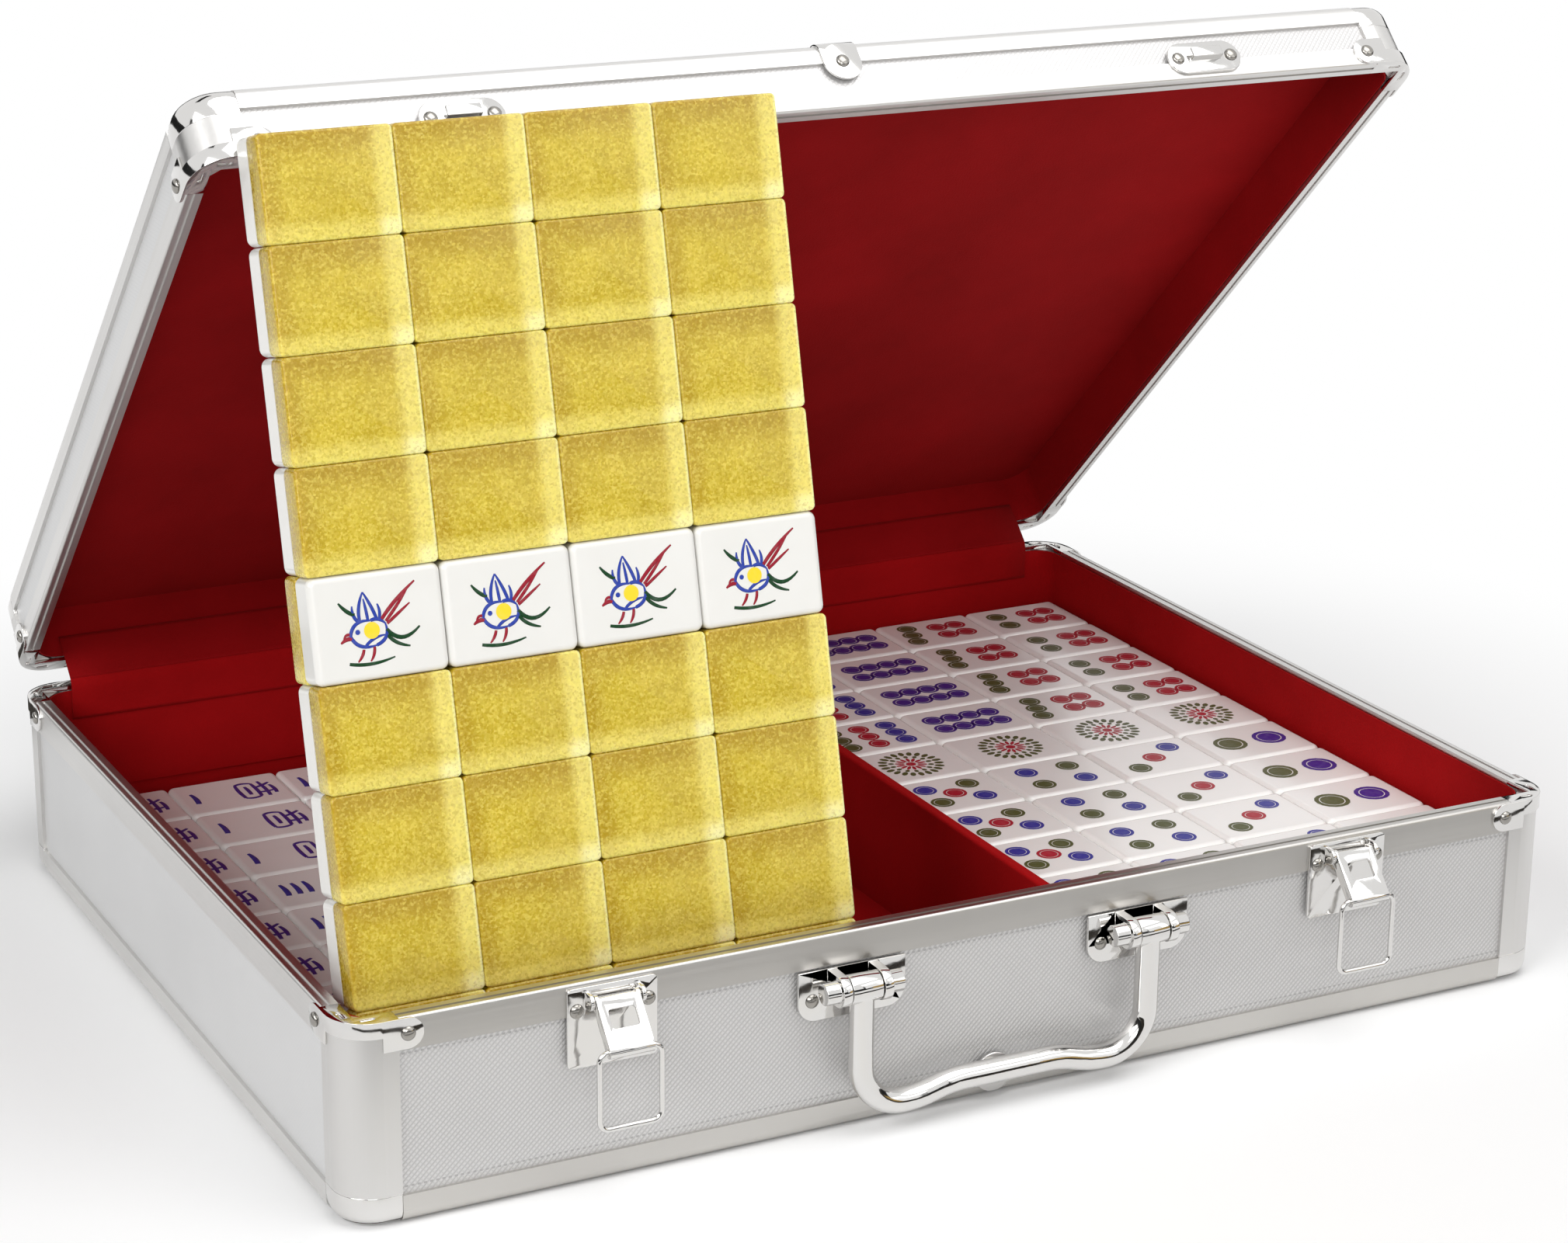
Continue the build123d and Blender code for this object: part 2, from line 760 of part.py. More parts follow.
handle_plane = Plane((0, front_y - handle_out, 0), x_dir=(1, 0, 0), z_dir=(0, -1, 0))
grip_low = handle_pivot_z - handle_drop
bend_x = mount_x - handle_bend_radius
grip_slope = bend_x - grip_flat
grip_angle = 2 * degrees(atan(grip_rise / grip_slope))
grip_radius = grip_slope / 2 / sin(radians(grip_angle))
with BuildPart() as handle:
    with BuildLine(handle_plane) as path:
        leg = Line((-mount_x, handle_pivot_z), (-mount_x, grip_low + handle_bend_radius))
        bend = JernArc(leg @ 1, (0, -1), handle_bend_radius, 90)
        rise = JernArc(bend @ 1, (1, 0), grip_radius, grip_angle)
        crest = JernArc(rise @ 1, rise % 1, grip_radius, -grip_angle)
        Line(crest @ 1, (0, grip_low + grip_rise))
    with BuildSketch(Plane(origin=path.line @ 0, z_dir=path.line % 0)):
        Circle(handle_tube_radius)
    sweep()
    with BuildSketch(Plane.YZ.offset(-mount_x - eye_width / 2)):
        with Locations((front_y - handle_out, handle_pivot_z)):
            Circle(eye_radius)
    extrude(amount=eye_width)
    with BuildSketch(Plane.YZ.offset(-mount_x - eye_width / 2)):
        with Locations((front_y - handle_out, handle_pivot_z)):
            Circle(handle_pin_radius + bearing_gap)
    extrude(amount=eye_width, mode=Mode.SUBTRACT)
    mirror(about=Plane.YZ)
save(handle, "handle")

# ---------------------------------------------------------------- rivets
front_out = (0, -1, 0)
base_rivet_places = corner_rivets(base_height, -1)
for x in (-latch_x, latch_x):
    for dx in (-latch_rivet_spacing / 2, latch_rivet_spacing / 2):
        place = (x + dx, front_y - latch_plate_thickness, base_height - latch_rivet_drop)
        base_rivet_places.append((place, front_out))
for x in (-mount_x, mount_x):
    for dx in (-mount_rivet_spacing / 2, mount_rivet_spacing / 2):
        place = (x + dx, front_y - mount_thickness, mount_top - mount_rivet_drop)
        base_rivet_places.append((place, front_out))
clip_rivet = clip_drop - clip_width / 2
base_rivet_places.append(((0, front_y - plate_thickness, clip_rivet), front_out))
save(rivet_heads(base_rivet_places), "base_rivets")

lid_rivet_places = corner_rivets(lid_bottom, 1)
for x in (-latch_x, latch_x):
    for dx in (-catch_rivet_spacing / 2, catch_rivet_spacing / 2):
        z = lid_bottom + catch_bottom + catch_height / 2
        lid_rivet_places.append(((x + dx, front_y - catch_thickness, z), front_out))
lid_rivet_places.append(((0, front_y - plate_thickness, lid_top - clip_rivet), front_out))
save(rivet_heads(lid_rivet_places), "lid_rivets", lid_pose)

# ---------------------------------------------------------------- tiles
def tile_half(low, high, face):
    """One layer of a tile between two heights, with its outer face's edges rounded."""
    with BuildPart() as half:
        with BuildSketch(Plane.XY.offset(low)):
            RectangleRounded(tile_long, tile_short, tile_round)
        extrude(amount=high - low)
        fillet(half.faces().sort_by(Axis.Z)[face].edges(), tile_round * 0.8)
    return half.part


tile_back = tile_half(0, tile_thick - face_layer - bond_gap, 0)
tile_face = tile_half(tile_thick - face_layer, tile_thick, -1)


def tile_grid(half, frames):
    """Copies of one layer of a tile, one per frame."""
    with BuildPart() as tiles:
        with Locations(*frames):
            add(half)
    return tiles


def flat_layer(x, z):
    """Frames of a layer of tiles that lie face up."""
    return [
        Location((x + place.position.X, tiles_y + place.position.Y, z))
        for place in GridLocations(pitch_x, pitch_y, tile_columns, tile_rows)
    ]


right_frames = flat_layer(right_tiles_x, lower_z) + flat_layer(right_tiles_x, upper_z)
left_frames = flat_layer(left_tiles_x, lower_z)
save(tile_grid(tile_face, right_frames), "tile_faces_right")
save(tile_grid(tile_back, right_frames), "tile_backs_right")
save(tile_grid(tile_face, left_frames), "tile_faces_left")
save(tile_grid(tile_back, left_frames), "tile_backs_left")

# leaning block: backs to the front, except the row that shows its faces
lean = radians(block_lean)
rim_edge = (lid_pose * Location((0, front_y, lid_bottom))).position
foot_z = layer_top + block_foot_gap + tile_thick * sin(lean)
across = cos(lean) * rim_edge.Y - sin(lean) * rim_edge.Z - block_lean_gap - tile_thick
foot_y = (across + sin(lean) * foot_z) / cos(lean)
block_plane = Plane(
    (block_x, foot_y, foot_z),
    x_dir=(1, 0, 0),
    z_dir=(0, -cos(lean), sin(lean)),
)
block_frames = []
for row in range(tile_rows):
    for column in range(tile_columns):
        x = (column - (tile_columns - 1) / 2) * pitch_x
        y = (row + 0.5) * pitch_y
        if row == shown_face_row:
            spot = Location((x, y, -tile_thick))
        else:
            spot = Location((x, y, 0), (0, 180, 0))
        block_frames.append(block_plane.location * spot)
save(tile_grid(tile_face, block_frames), "tile_faces_block")
save(tile_grid(tile_back, block_frames), "tile_backs_block")
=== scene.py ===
# %% [markdown]
# # A carrying case for a set of playing tiles
#
# The case is made of thin boards in an aluminium frame, lined with red cloth, with plated corners, latches
# and a bent tube handle. The engineering solids are loaded first and never moved. Each later cell either
# gives one of them its finish, or adds something too fine for the solids, such as the printing on the
# tiles.

import json
import math

import bpy
from mathutils import Matrix, Vector


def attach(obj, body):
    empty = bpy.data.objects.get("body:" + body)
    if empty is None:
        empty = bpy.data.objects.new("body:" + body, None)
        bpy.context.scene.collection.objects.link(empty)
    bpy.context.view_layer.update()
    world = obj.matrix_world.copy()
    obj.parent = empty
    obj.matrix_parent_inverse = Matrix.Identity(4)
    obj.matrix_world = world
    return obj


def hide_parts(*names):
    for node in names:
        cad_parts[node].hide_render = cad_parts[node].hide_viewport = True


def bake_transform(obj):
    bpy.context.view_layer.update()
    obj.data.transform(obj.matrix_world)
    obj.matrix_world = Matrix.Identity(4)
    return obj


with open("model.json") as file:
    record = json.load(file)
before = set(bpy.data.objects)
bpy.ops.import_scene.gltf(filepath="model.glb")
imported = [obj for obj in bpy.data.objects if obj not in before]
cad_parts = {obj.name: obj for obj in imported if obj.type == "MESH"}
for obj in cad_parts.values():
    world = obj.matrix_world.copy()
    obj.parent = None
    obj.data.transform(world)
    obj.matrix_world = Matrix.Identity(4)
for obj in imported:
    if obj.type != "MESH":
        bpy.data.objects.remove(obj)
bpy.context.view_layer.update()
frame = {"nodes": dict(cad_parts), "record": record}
nodes = frame["nodes"]

# %% [markdown]
# Everything is in metres. The sizes below repeat the ones that the solids were drawn with, so that printing
# and cloth land on the faces that carry them.

# %% Sizes
mm = 0.001
case_width = 420 * mm
case_depth = 317 * mm
base_height = 64 * mm
rim_gap = 0.4 * mm
lid_angle = math.radians(44.5)
hinge_y = case_depth / 2 + 6.5 * mm
hinge_z = base_height - 4.5 * mm
inner_face = 5.5 * mm
tile_pitch_x = 40.2 * mm
tile_pitch_y = 31.0 * mm
tile_rows = 9
tile_columns = 4
right_tiles_x = 121.6 * mm
left_tiles_x = -123.8 * mm
tiles_y = 4.9 * mm
right_tile_top = 43.4 * mm
left_tile_top = 23.8 * mm
block_lean = math.radians(13.7)
block_foot = Vector((-118.6 * mm, -147.0324 * mm, 28.7183 * mm))
print_lift = 0.05 * mm


def lid_opened(y, z):
    """A point of the shut lid, turned about the hinge to where the open lid has it."""
    turned = Matrix.Rotation(-lid_angle, 3, "X") @ Vector((0, y - hinge_y, z - hinge_z))
    return turned.y + hinge_y, turned.z + hinge_z


print("open lid's front rim edge", lid_opened(-case_depth / 2, base_height + rim_gap))

# %% [markdown]
# ## Camera, floor and light
#
# A long lens from the front left and a little above shows the front, the left side and the inside at once.
# The camera's turn is built from its azimuth, elevation and a slight roll.

# %% Camera
camera_place = (-0.52377, -1.03062, 0.48691)
azimuth, elevation, roll = (math.radians(angle) for angle in (-27.307, 18.236, 0.596))
level = math.cos(elevation)
back = Vector((math.sin(azimuth) * level, -math.cos(azimuth) * level, math.sin(elevation)))
right = (-back).cross(Vector((0, 0, 1))).normalized()
up = right.cross(-back)
right, up = right * math.cos(roll) + up * math.sin(roll), up * math.cos(roll) - right * math.sin(roll)
optics = bpy.data.cameras.new("camera")
optics.lens = 83.45
optics.sensor_width = 36
optics.clip_start, optics.clip_end = 0.05, 50
camera = bpy.data.objects.new("camera", optics)
bpy.context.scene.collection.objects.link(camera)
camera.matrix_world = Matrix.Translation(camera_place) @ Matrix((right, up, back)).transposed().to_4x4()
bpy.context.scene.camera = camera
bpy.context.scene.view_settings.view_transform = "Standard"
print("camera with a lens of", round(optics.lens, 2), "mm")

# %% [markdown]
# Materials are node trees, and so is the world. A few small helpers keep the later cells short: one starts
# a material, one adds a node with its settings, and the others chain maths on a value or make the patterns,
# limits and mixes that several finishes share. Each is given the material or the world that owns the nodes.

# %% Material helpers
def feed(socket, value):
    """Set a socket to a value, or link it from another socket."""
    if isinstance(value, bpy.types.NodeSocket):
        socket.id_data.links.new(value, socket)
    else:
        socket.default_value = value


def use(shader, **values):
    """Feed a shader's inputs, with _ for a space in their names."""
    for key, value in values.items():
        feed(shader.inputs[key.replace("_", " ")], value)


def new_finish(name, color, metallic=0.0, roughness=0.5):
    """A material with a Principled shader, and the shader itself."""
    material = bpy.data.materials.new(name)
    material.use_nodes = True
    shader = material.node_tree.nodes["Principled BSDF"]
    use(shader, Base_Color=(*color, 1), Metallic=metallic, Roughness=roughness)
    return material, shader


def add_node(owner, kind, inputs=(), **settings):
    """A node with its settings, and its inputs given as values or as sockets to link from."""
    made = owner.node_tree.nodes.new(kind)
    for key, value in settings.items():
        setattr(made, key, value)
    for key, value in dict(inputs).items():
        feed(made.inputs[key], value)
    return made


def maths(owner, operation, *values):
    """The output of one Math node on numbers or sockets."""
    return add_node(owner, "ShaderNodeMath", dict(enumerate(values)), operation=operation).outputs[0]


def chain(owner, value, *steps):
    """A value taken through Math nodes one after another, each an operation and its second number, if any."""
    for operation, *second in steps:
        value = maths(owner, operation, value, *second)
    return value


def map_range(owner, value, low=0.0, high=1.0, least=0.0, most=1.0, kind="LINEAR"):
    """A value between two limits, carried over to two others."""
    limits = {"Value": value, "From Min": low, "From Max": high, "To Min": least, "To Max": most}
    return add_node(owner, "ShaderNodeMapRange", limits, interpolation_type=kind).outputs["Result"]


def object_point(owner, rotation=(0, 0, 0), location=(0, 0, 0), scale=(1, 1, 1)):
    """Object coordinates, turned and moved by a Mapping node."""
    source = add_node(owner, "ShaderNodeTexCoord").outputs["Object"]
    values = {"Vector": source, "Rotation": rotation, "Location": location, "Scale": scale}
    return add_node(owner, "ShaderNodeMapping", values).outputs["Vector"]


def noise(owner, vector, scale, detail=3.0, rough=0.55):
    """The value of a noise pattern on a vector."""
    values = {"Vector": vector, "Scale": scale, "Detail": detail, "Roughness": rough}
    return add_node(owner, "ShaderNodeTexNoise", values).outputs["Fac"]


def toned(color, factor):
    """A colour made deeper or paler by a factor."""
    return tuple(factor * value for value in color)


def blend_colors(owner, factor, first, second):
    """A mix of two colours by a factor."""
    first, second = ((*color, 1) if isinstance(color, tuple) else color for color in (first, second))
    return add_node(owner, "ShaderNodeMix", {0: factor, 6: first, 7: second}, data_type="RGBA").outputs[2]


def relief(owner, shader, height, distance, strength=1.0):
    """Bump from a height socket, with its full depth in metres."""
    values = {"Height": height, "Distance": distance, "Strength": strength}
    use(shader, Normal=add_node(owner, "ShaderNodeBump", values).outputs["Normal"])


# %% [markdown]
# The floor is a wide pale disc. Near the case it takes a real shadow, and further out it fades into plain
# white for the camera and for reflections, so that no edge or horizon shows. The fade is by distance from
# the middle.

# %% Floor
def seen_rays(owner):
    """1 for rays from the camera, straight, mirrored or through something clear, and 0 for others."""
    path = add_node(owner, "ShaderNodeLightPath").outputs
    seen = maths(owner, "MAXIMUM", path["Is Camera Ray"], path["Is Glossy Ray"])
    return maths(owner, "MAXIMUM", seen, path["Is Transmission Ray"])


def deselect_all():
    """Leave no object selected."""
    bpy.ops.object.select_all(action="DESELECT")


deselect_all()
bpy.ops.mesh.primitive_circle_add(vertices=96, radius=4, fill_type="NGON", location=(0, 0, -0.4 * mm))
floor = bpy.context.object
floor.name = "floor"
bpy.ops.object.transform_apply()
pale, pale_shader = new_finish("pale floor", (0.93, 0.93, 0.93), roughness=0.7)
use(pale_shader, Specular_IOR_Level=0.1)
reach = add_node(pale, "ShaderNodeVectorMath", {0: object_point(pale)}, operation="LENGTH").outputs["Value"]
fade = map_range(pale, reach, low=0.24, high=0.52, kind="SMOOTHSTEP")
white = maths(pale, "MULTIPLY", fade, seen_rays(pale))
glow = add_node(pale, "ShaderNodeEmission", {"Color": (1, 1, 1, 1), "Strength": 1.0})
mixed = add_node(pale, "ShaderNodeMixShader", {0: white, 1: pale_shader.outputs[0], 2: glow.outputs[0]})
use(pale.node_tree.nodes["Material Output"], Surface=mixed.outputs[0])
floor.data.materials.append(pale)
print("floor", round(floor.dimensions.x, 2), "m across")

# %% [markdown]
# The world is white to the camera and in reflections, and a softer grey as a light. Four large area lamps
# give the soft studio light: a key from the upper left, one from the front that reaches into the case under
# the lid, a fill from the right, and one over the open lid.

# %% World and lamps
world = bpy.data.worlds.new("studio")
bpy.context.scene.world = world
world.use_nodes = True
strength = map_range(world, seen_rays(world), least=0.34)
use(world.node_tree.nodes["Background"], Color=(1, 1, 1, 1), Strength=strength)


def soft_lamp(name, place, target, size, power):
    """A square area lamp that faces a target."""
    data = bpy.data.lights.new(name, "AREA")
    data.size = size
    data.energy = power
    lamp = bpy.data.objects.new(name, data)
    bpy.context.scene.collection.objects.link(lamp)
    lamp.location = place
    lamp.rotation_euler = (Vector(target) - Vector(place)).to_track_quat("-Z", "Y").to_euler()
    print("lamp", name, "of", power, "W")


soft_lamp("key", (-1.8, -0.9, 1.3), (0, 0, 0.1), size=1.2, power=24)
soft_lamp("front", (-0.75, -1.9, 0.9), (0.05, 0, 0.08), size=0.8, power=9)
soft_lamp("fill", (1.1, -1.6, 0.9), (0, 0, 0.12), size=1.2, power=5)
soft_lamp("top", (0.4, -0.6, 1.9), (0, 0, 0.1), size=1.5, power=17)

# %% [markdown]
# Bright plating looks like metal only when there is something dark for it to mirror. Three dark cards stand
# about the case, a low dark curtain runs right round the studio like a horizon, and low dark kerbs stand
# closer in. One more card is the colour of wood, for a warm glint. They are hidden from the camera and
# throw no shadow: only reflections see them.

# %% Dark cards
soot = (0.01, 0.01, 0.01)


def seen_in_reflections(card, name, color):
    """Make a stage piece dark, and hide it from everything but reflections."""
    card.name = name
    dull, _ = new_finish(name, color, roughness=1.0)
    card.data.materials.append(dull)
    for kind in ("camera", "diffuse", "shadow", "transmission", "volume_scatter"):
        setattr(card, f"visible_{kind}", False)
    print(name, "is seen in reflections only")


def dark_card(name, place, size, color=soot, upright=False):
    """A card that only reflections see, facing the case, or standing straight up along X."""
    deselect_all()
    aim = (Vector((0, 0, 0.1)) - Vector(place)).to_track_quat("Z", "Y").to_euler()
    aim = (math.radians(90), 0, 0) if upright else aim
    bpy.ops.mesh.primitive_plane_add(size=1, location=place, rotation=aim)
    bpy.context.object.scale = (*size, 1)
    seen_in_reflections(bpy.context.object, name, color)


dark_card("dark_card_left", (-2.2, -0.6, 0.7), (1.0, 1.3))
dark_card("dark_card_right", (1.1, -2.0, 0.8), (1.0, 0.8))
dark_card("dark_card_top", (-0.6, 0.9, 2.4), (1.6, 0.5))
curtain_low, curtain_high = 0.06, 0.62
deselect_all()
bpy.ops.mesh.primitive_cylinder_add(
    vertices=96,
    radius=2.4,
    depth=curtain_high - curtain_low,
    end_fill_type="NOTHING",
    location=(0, 0, (curtain_low + curtain_high) / 2),
)
seen_in_reflections(bpy.context.object, "dark_curtain", soot)
for name, y in (("dark_kerb_front", -0.285), ("dark_kerb_back", 0.30)):
    dark_card(name, (0.04, y, 0.011), (0.9, 0.022), (0.035, 0.03, 0.025), upright=True)
dark_card("warm_card", (0.75, -0.95, 0.16), (0.5, 0.2), (0.52, 0.34, 0.10))

# %% [markdown]
# ## Metal
#
# The frame is extruded aluminium: satin, with fine lines drawn along each rail by the die. The lines are a
# noise pattern stretched along the rail, so rails that run across the case and rails that run along its
# depth need their own, and the open lid's side rails need theirs turned with the lid.

# %% Extruded aluminium
bright_metal = (0.70, 0.69, 0.675)
metal_with_painted_shade = (0.56, 0.545, 0.52)


def extruded(name, along, tilt, color):
    """Satin aluminium with die lines along the X or Y axis of a frame that is tilted about X."""
    metal, shader = new_finish(name, color, metallic=1.0, roughness=0.3)
    turned = object_point(metal, rotation=(tilt, 0, 0))
    stretch = (6, 900, 900) if along == "X" else (900, 6, 900)
    drawn = add_node(metal, "ShaderNodeMapping", {"Vector": turned, "Scale": stretch}).outputs[0]
    lines = noise(metal, drawn, 1.0, 4)
    patches = noise(metal, turned, 14.0, 3)
    shade = blend_colors(metal, patches, toned(color, 0.90), toned(color, 1.08))
    use(shader, Base_Color=shade, Roughness=map_range(metal, lines, least=0.22, most=0.42))
    relief(metal, shader, lines, 0.00004, 0.6)
    return metal


def coat(piece, material):
    """Give a piece one material."""
    piece.data.materials.clear()
    piece.data.materials.append(material)


def wear(names, material):
    """Give a finish to each named solid."""
    for name in names:
        coat(nodes[name], material)
    print(material.name, "on", *names)


for shell, edge, tilt in (("base", "bottom", 0.0), ("lid", "top", lid_angle)):
    for way, axis, sides in (("across", "X", ("front", "back")), ("along", "Y", ("left", "right"))):
        # The base's front and back rails get a darker copy of the aluminium: painted shade for the shaded
        # floor they mirror.
        color = metal_with_painted_shade if (shell, axis) == ("base", "X") else bright_metal
        metal = extruded(f"extruded aluminium {way} the {shell}", axis, tilt, color)
        wear([f"{shell}_{part}_rail_{side}" for part in ("rim", edge) for side in sides], metal)

# %% [markdown]
# The upright posts at the corners are the same metal, with a grain that runs up them.

# %% Corner posts
posts, posts_shader = new_finish("satin corner posts", (0.66, 0.65, 0.635), metallic=1.0, roughness=0.34)
grain = noise(posts, object_point(posts, scale=(700, 700, 10)), 1.0, 3)
use(posts_shader, Roughness=map_range(posts, grain, least=0.26, most=0.42))
relief(posts, posts_shader, grain, 0.00003, 0.5)
wear(["base_corner_posts", "lid_corner_posts"], posts)

# %% [markdown]
# Corners, clips, latches, hinges and the handle are bright plated steel. Real plating is never quite flat:
# a slow waviness bends what it mirrors, and handling leaves faint smears that are a little rougher.

# %% Bright plating
def plating(name, color, smooth, smeared):
    """Bright plating with slow waviness, and smears between two roughnesses."""
    metal, shader = new_finish(name, color, metallic=1.0, roughness=0.09)
    point = object_point(metal)
    smears = noise(metal, point, 90.0, 5, 0.6)
    use(shader, Roughness=map_range(metal, smears, 0.35, 0.7, smooth, smeared))
    relief(metal, shader, noise(metal, point, 130.0, 2), 0.0002, 0.5)
    return metal


chrome = plating("bright plating", bright_metal, smooth=0.04, smeared=0.14)
rivet_steel = plating("rivet steel", (0.34, 0.325, 0.30), smooth=0.12, smeared=0.26)
print("plated finishes", chrome.name, "and", rivet_steel.name)

# %% [markdown]
# Pressed and bent metal never has a knife edge. A copy of each plated solid has its triangles merged into
# clean faces, and a narrow bevel is cut along its sharp edges. The bevel catches a thin line of light, and
# the copy stands for the solid.

# %% Softened edges
def body_of(name):
    """The body that a solid belongs to."""
    return next(body for body, members in frame["record"]["behaviour"]["bodies"].items() if name in members)


def select_only(piece):
    """Select one piece and make it the active one."""
    deselect_all()
    piece.select_set(True)
    bpy.context.view_layer.objects.active = piece


def edit_all():
    """Open the active mesh for editing, with all of it selected."""
    bpy.ops.object.mode_set(mode="EDIT")
    bpy.ops.mesh.select_all(action="SELECT")


def own_copy(piece):
    """A copy of a piece with a mesh of its own."""
    copy = piece.copy()
    copy.data = piece.data.copy()
    bpy.context.scene.collection.objects.link(copy)
    return copy


def merged_copy(name):
    """A free copy of a solid with its loose triangles merged, still open for editing."""
    copy = own_copy(nodes[name])
    copy.parent = None
    for key in list(copy.keys()):
        del copy[key]
    select_only(copy)
    edit_all()
    bpy.ops.mesh.remove_doubles(threshold=0.002 * mm)
    return copy


def dress(piece, material, body, slot, *solids):
    """Give a new piece its finish and body, and hide the solids it stands for, if any. The slot is not used.
    """
    coat(piece, material)
    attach(piece, body)
    if solids:
        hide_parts(*solids)
    print(piece.name, len(piece.data.polygons), "faces")


def softened(name, width):
    """A copy of a plated solid with its sharp edges bevelled, which stands for the solid."""
    copy = merged_copy(name)
    copy.name = f"{name}_polished"
    bpy.ops.mesh.dissolve_limited(angle_limit=math.radians(1.0))
    bpy.ops.object.mode_set(mode="OBJECT")
    edge = copy.modifiers.new("soft edge", "BEVEL")
    edge.width = width
    edge.segments = 2
    edge.limit_method = "ANGLE"
    edge.angle_limit = math.radians(38)
    bpy.ops.object.modifier_apply(modifier=edge.name)
    bpy.ops.object.shade_smooth_by_angle(angle=math.radians(40))
    dress(copy, chrome, body_of(name), "hardware_chrome", name)


trims = ("clip", "hinge_leaves", "rim_corners", "caps")
fittings = ("latch_plate", "latch_lever", "lid_catch", "handle_mounts")
for words in (trims, fittings):
    for name in [n for n in sorted(nodes) if any(word in n for word in words)]:
        softened(name, 0.25 * mm)
for name in ("handle", "hinge_pins", "latch_bail_left", "latch_bail_right"):
    softened(name, 0.15 * mm)

# %% [markdown]
# The rivet heads are shallow domes. The solids give where each one sits and which way it faces: every loose
# piece of the mesh is one head, its wide end is the seat, and it faces from there to its narrow end. A dome
# is turned from a circle that is drawn in and raised in rings.

# %% Rivet heads
def join(parts, name):
    """Join objects into one, apply its place and name it."""
    select_only(parts[0])
    for part in parts[1:]:
        part.select_set(True)
    if len(parts) > 1:
        bpy.ops.object.join()
    bpy.ops.object.transform_apply(location=True, rotation=True, scale=True)
    joined = bpy.context.object
    joined.name = name
    joined.data.name = name
    return joined


def finish_edit():
    """Turn every face of the open mesh outwards, and close it."""
    bpy.ops.mesh.select_all(action="SELECT")
    bpy.ops.mesh.normals_make_consistent(inside=False)
    bpy.ops.object.mode_set(mode="OBJECT")


def rivet_dome(radius, height, rings=5):
    """A low dome on the XY plane: rings drawn in and raised along a circle's arc, almost to its top."""
    deselect_all()
    bpy.ops.mesh.primitive_circle_add(vertices=24, radius=radius)
    edit_all()
    reach, level = 1.0, 0.0
    for ring in range(1, rings + 1):
        turn = math.radians(90) * ring / (rings + 0.4)
        rise = height * (math.sin(turn) - level)
        bpy.ops.mesh.extrude_edges_move(TRANSFORM_OT_translate={"value": (0, 0, rise)})
        bpy.ops.transform.resize(value=(math.cos(turn) / reach, math.cos(turn) / reach, 1))
        reach, level = math.cos(turn), math.sin(turn)
    bpy.ops.mesh.edge_face_add()
    finish_edit()
    bpy.ops.object.shade_smooth()
    return bpy.context.object


def middle_of(points):
    """The mean of some points."""
    return sum(points, Vector()) / len(points)


def rivet_seats(name):
    """The seat and outward direction of each rivet head in a solid of many: its wide end is the seat."""
    merged_copy(name)
    bpy.ops.mesh.separate(type="LOOSE")
    bpy.ops.object.mode_set(mode="OBJECT")
    seats = []
    for piece in list(bpy.context.selected_objects):
        points = [vertex.co.copy() for vertex in piece.data.vertices]
        middle = middle_of(points)
        seat = middle_of([point for point in points if (point - middle).length > rivet_waist])
        top = middle_of([point for point in points if (point - middle).length <= rivet_waist])
        seats.append((seat, (top - seat).normalized()))
        bpy.data.objects.remove(piece)
    return seats


rivet_waist = 1.85 * mm
dome = rivet_dome(radius=2.2 * mm, height=1.1 * mm)
for name, body in (("base_rivets", "base"), ("lid_rivets", "lid")):
    heads = []
    for seat, out in rivet_seats(name):
        head = own_copy(dome)
        head.matrix_world = Matrix.Translation(seat) @ out.to_track_quat("Z", "Y").to_matrix().to_4x4()
        heads.append(head)
    print(name, len(heads), "heads")
    dress(join(heads, f"{name}_domed"), rivet_steel, body, "hardware_chrome", name)
bpy.data.objects.remove(dome)

# %% [markdown]
# ## Embossed boards
#
# The boards have a silver skin pressed with a fine diagonal cross-hatch. Two sine waves at right angles,
# one for each diagonal of the board's own plane, give the height of the pressed ribs, and painted shade
# darkens the colour in the grooves between them. On the base's front and back boards, a row of stitched
# dots runs along the top and the bottom, just inside the rails.

# %% Embossed silver skin
rib_pitch = 1.8 * mm
dot_pitch = 1.9 * mm
dot_half_height = 0.32 * mm


def embossed(name, across, up, tilt=0.0, dots=(), hatch=1.0, color=(0.66, 0.65, 0.645)):
    """Silver skin with a diagonal hatch over two axes of a frame that is tilted about X through the hinge."""
    skin, shader = new_finish(name, color, metallic=0.55, roughness=0.42)
    hinge = Vector((0, hinge_y, hinge_z))
    shift = hinge - Matrix.Rotation(tilt, 3, "X") @ hinge
    point = object_point(skin, rotation=(tilt, 0, 0), location=shift)
    split = add_node(skin, "ShaderNodeSeparateXYZ", {0: point}).outputs
    u, v = split[across], split[up]
    ribs = []
    for diagonal in ("ADD", "SUBTRACT"):
        steps = (diagonal, v), ("MULTIPLY", math.pi / rib_pitch), ("SINE",), ("ABSOLUTE",)
        ribs.append(chain(skin, u, *steps))
    weak = chain(skin, ribs[0], ("MULTIPLY", 0.6), ("ADD", 0.4))
    height = maths(skin, "MINIMUM", weak, ribs[1])
    # Painted shade: the colour is darkened in the grooves of the hatch, and the stitched dots are added to
    # it.
    shade = maths(skin, "MULTIPLY", maths(skin, "SUBTRACT", 1.0, height), 0.42 * hatch)
    for z in dots:
        near = chain(skin, v, ("SUBTRACT", z), ("ABSOLUTE",), ("LESS_THAN", dot_half_height))
        beat = chain(skin, u, ("MULTIPLY", 2 * math.pi / dot_pitch), ("SINE",), ("GREATER_THAN", 0.0))
        stitch = chain(skin, near, ("MULTIPLY", beat), ("MULTIPLY", 0.5))
        shade = maths(skin, "MAXIMUM", shade, stitch)
    cloudy = noise(skin, point, 22.0, 3)
    light = blend_colors(skin, cloudy, toned(color, 0.95), toned(color, 1.05))
    use(shader, Base_Color=blend_colors(skin, shade, light, toned(color, 0.30)))
    relief(skin, shader, height, 0.00025, 0.5 * hatch)
    return skin


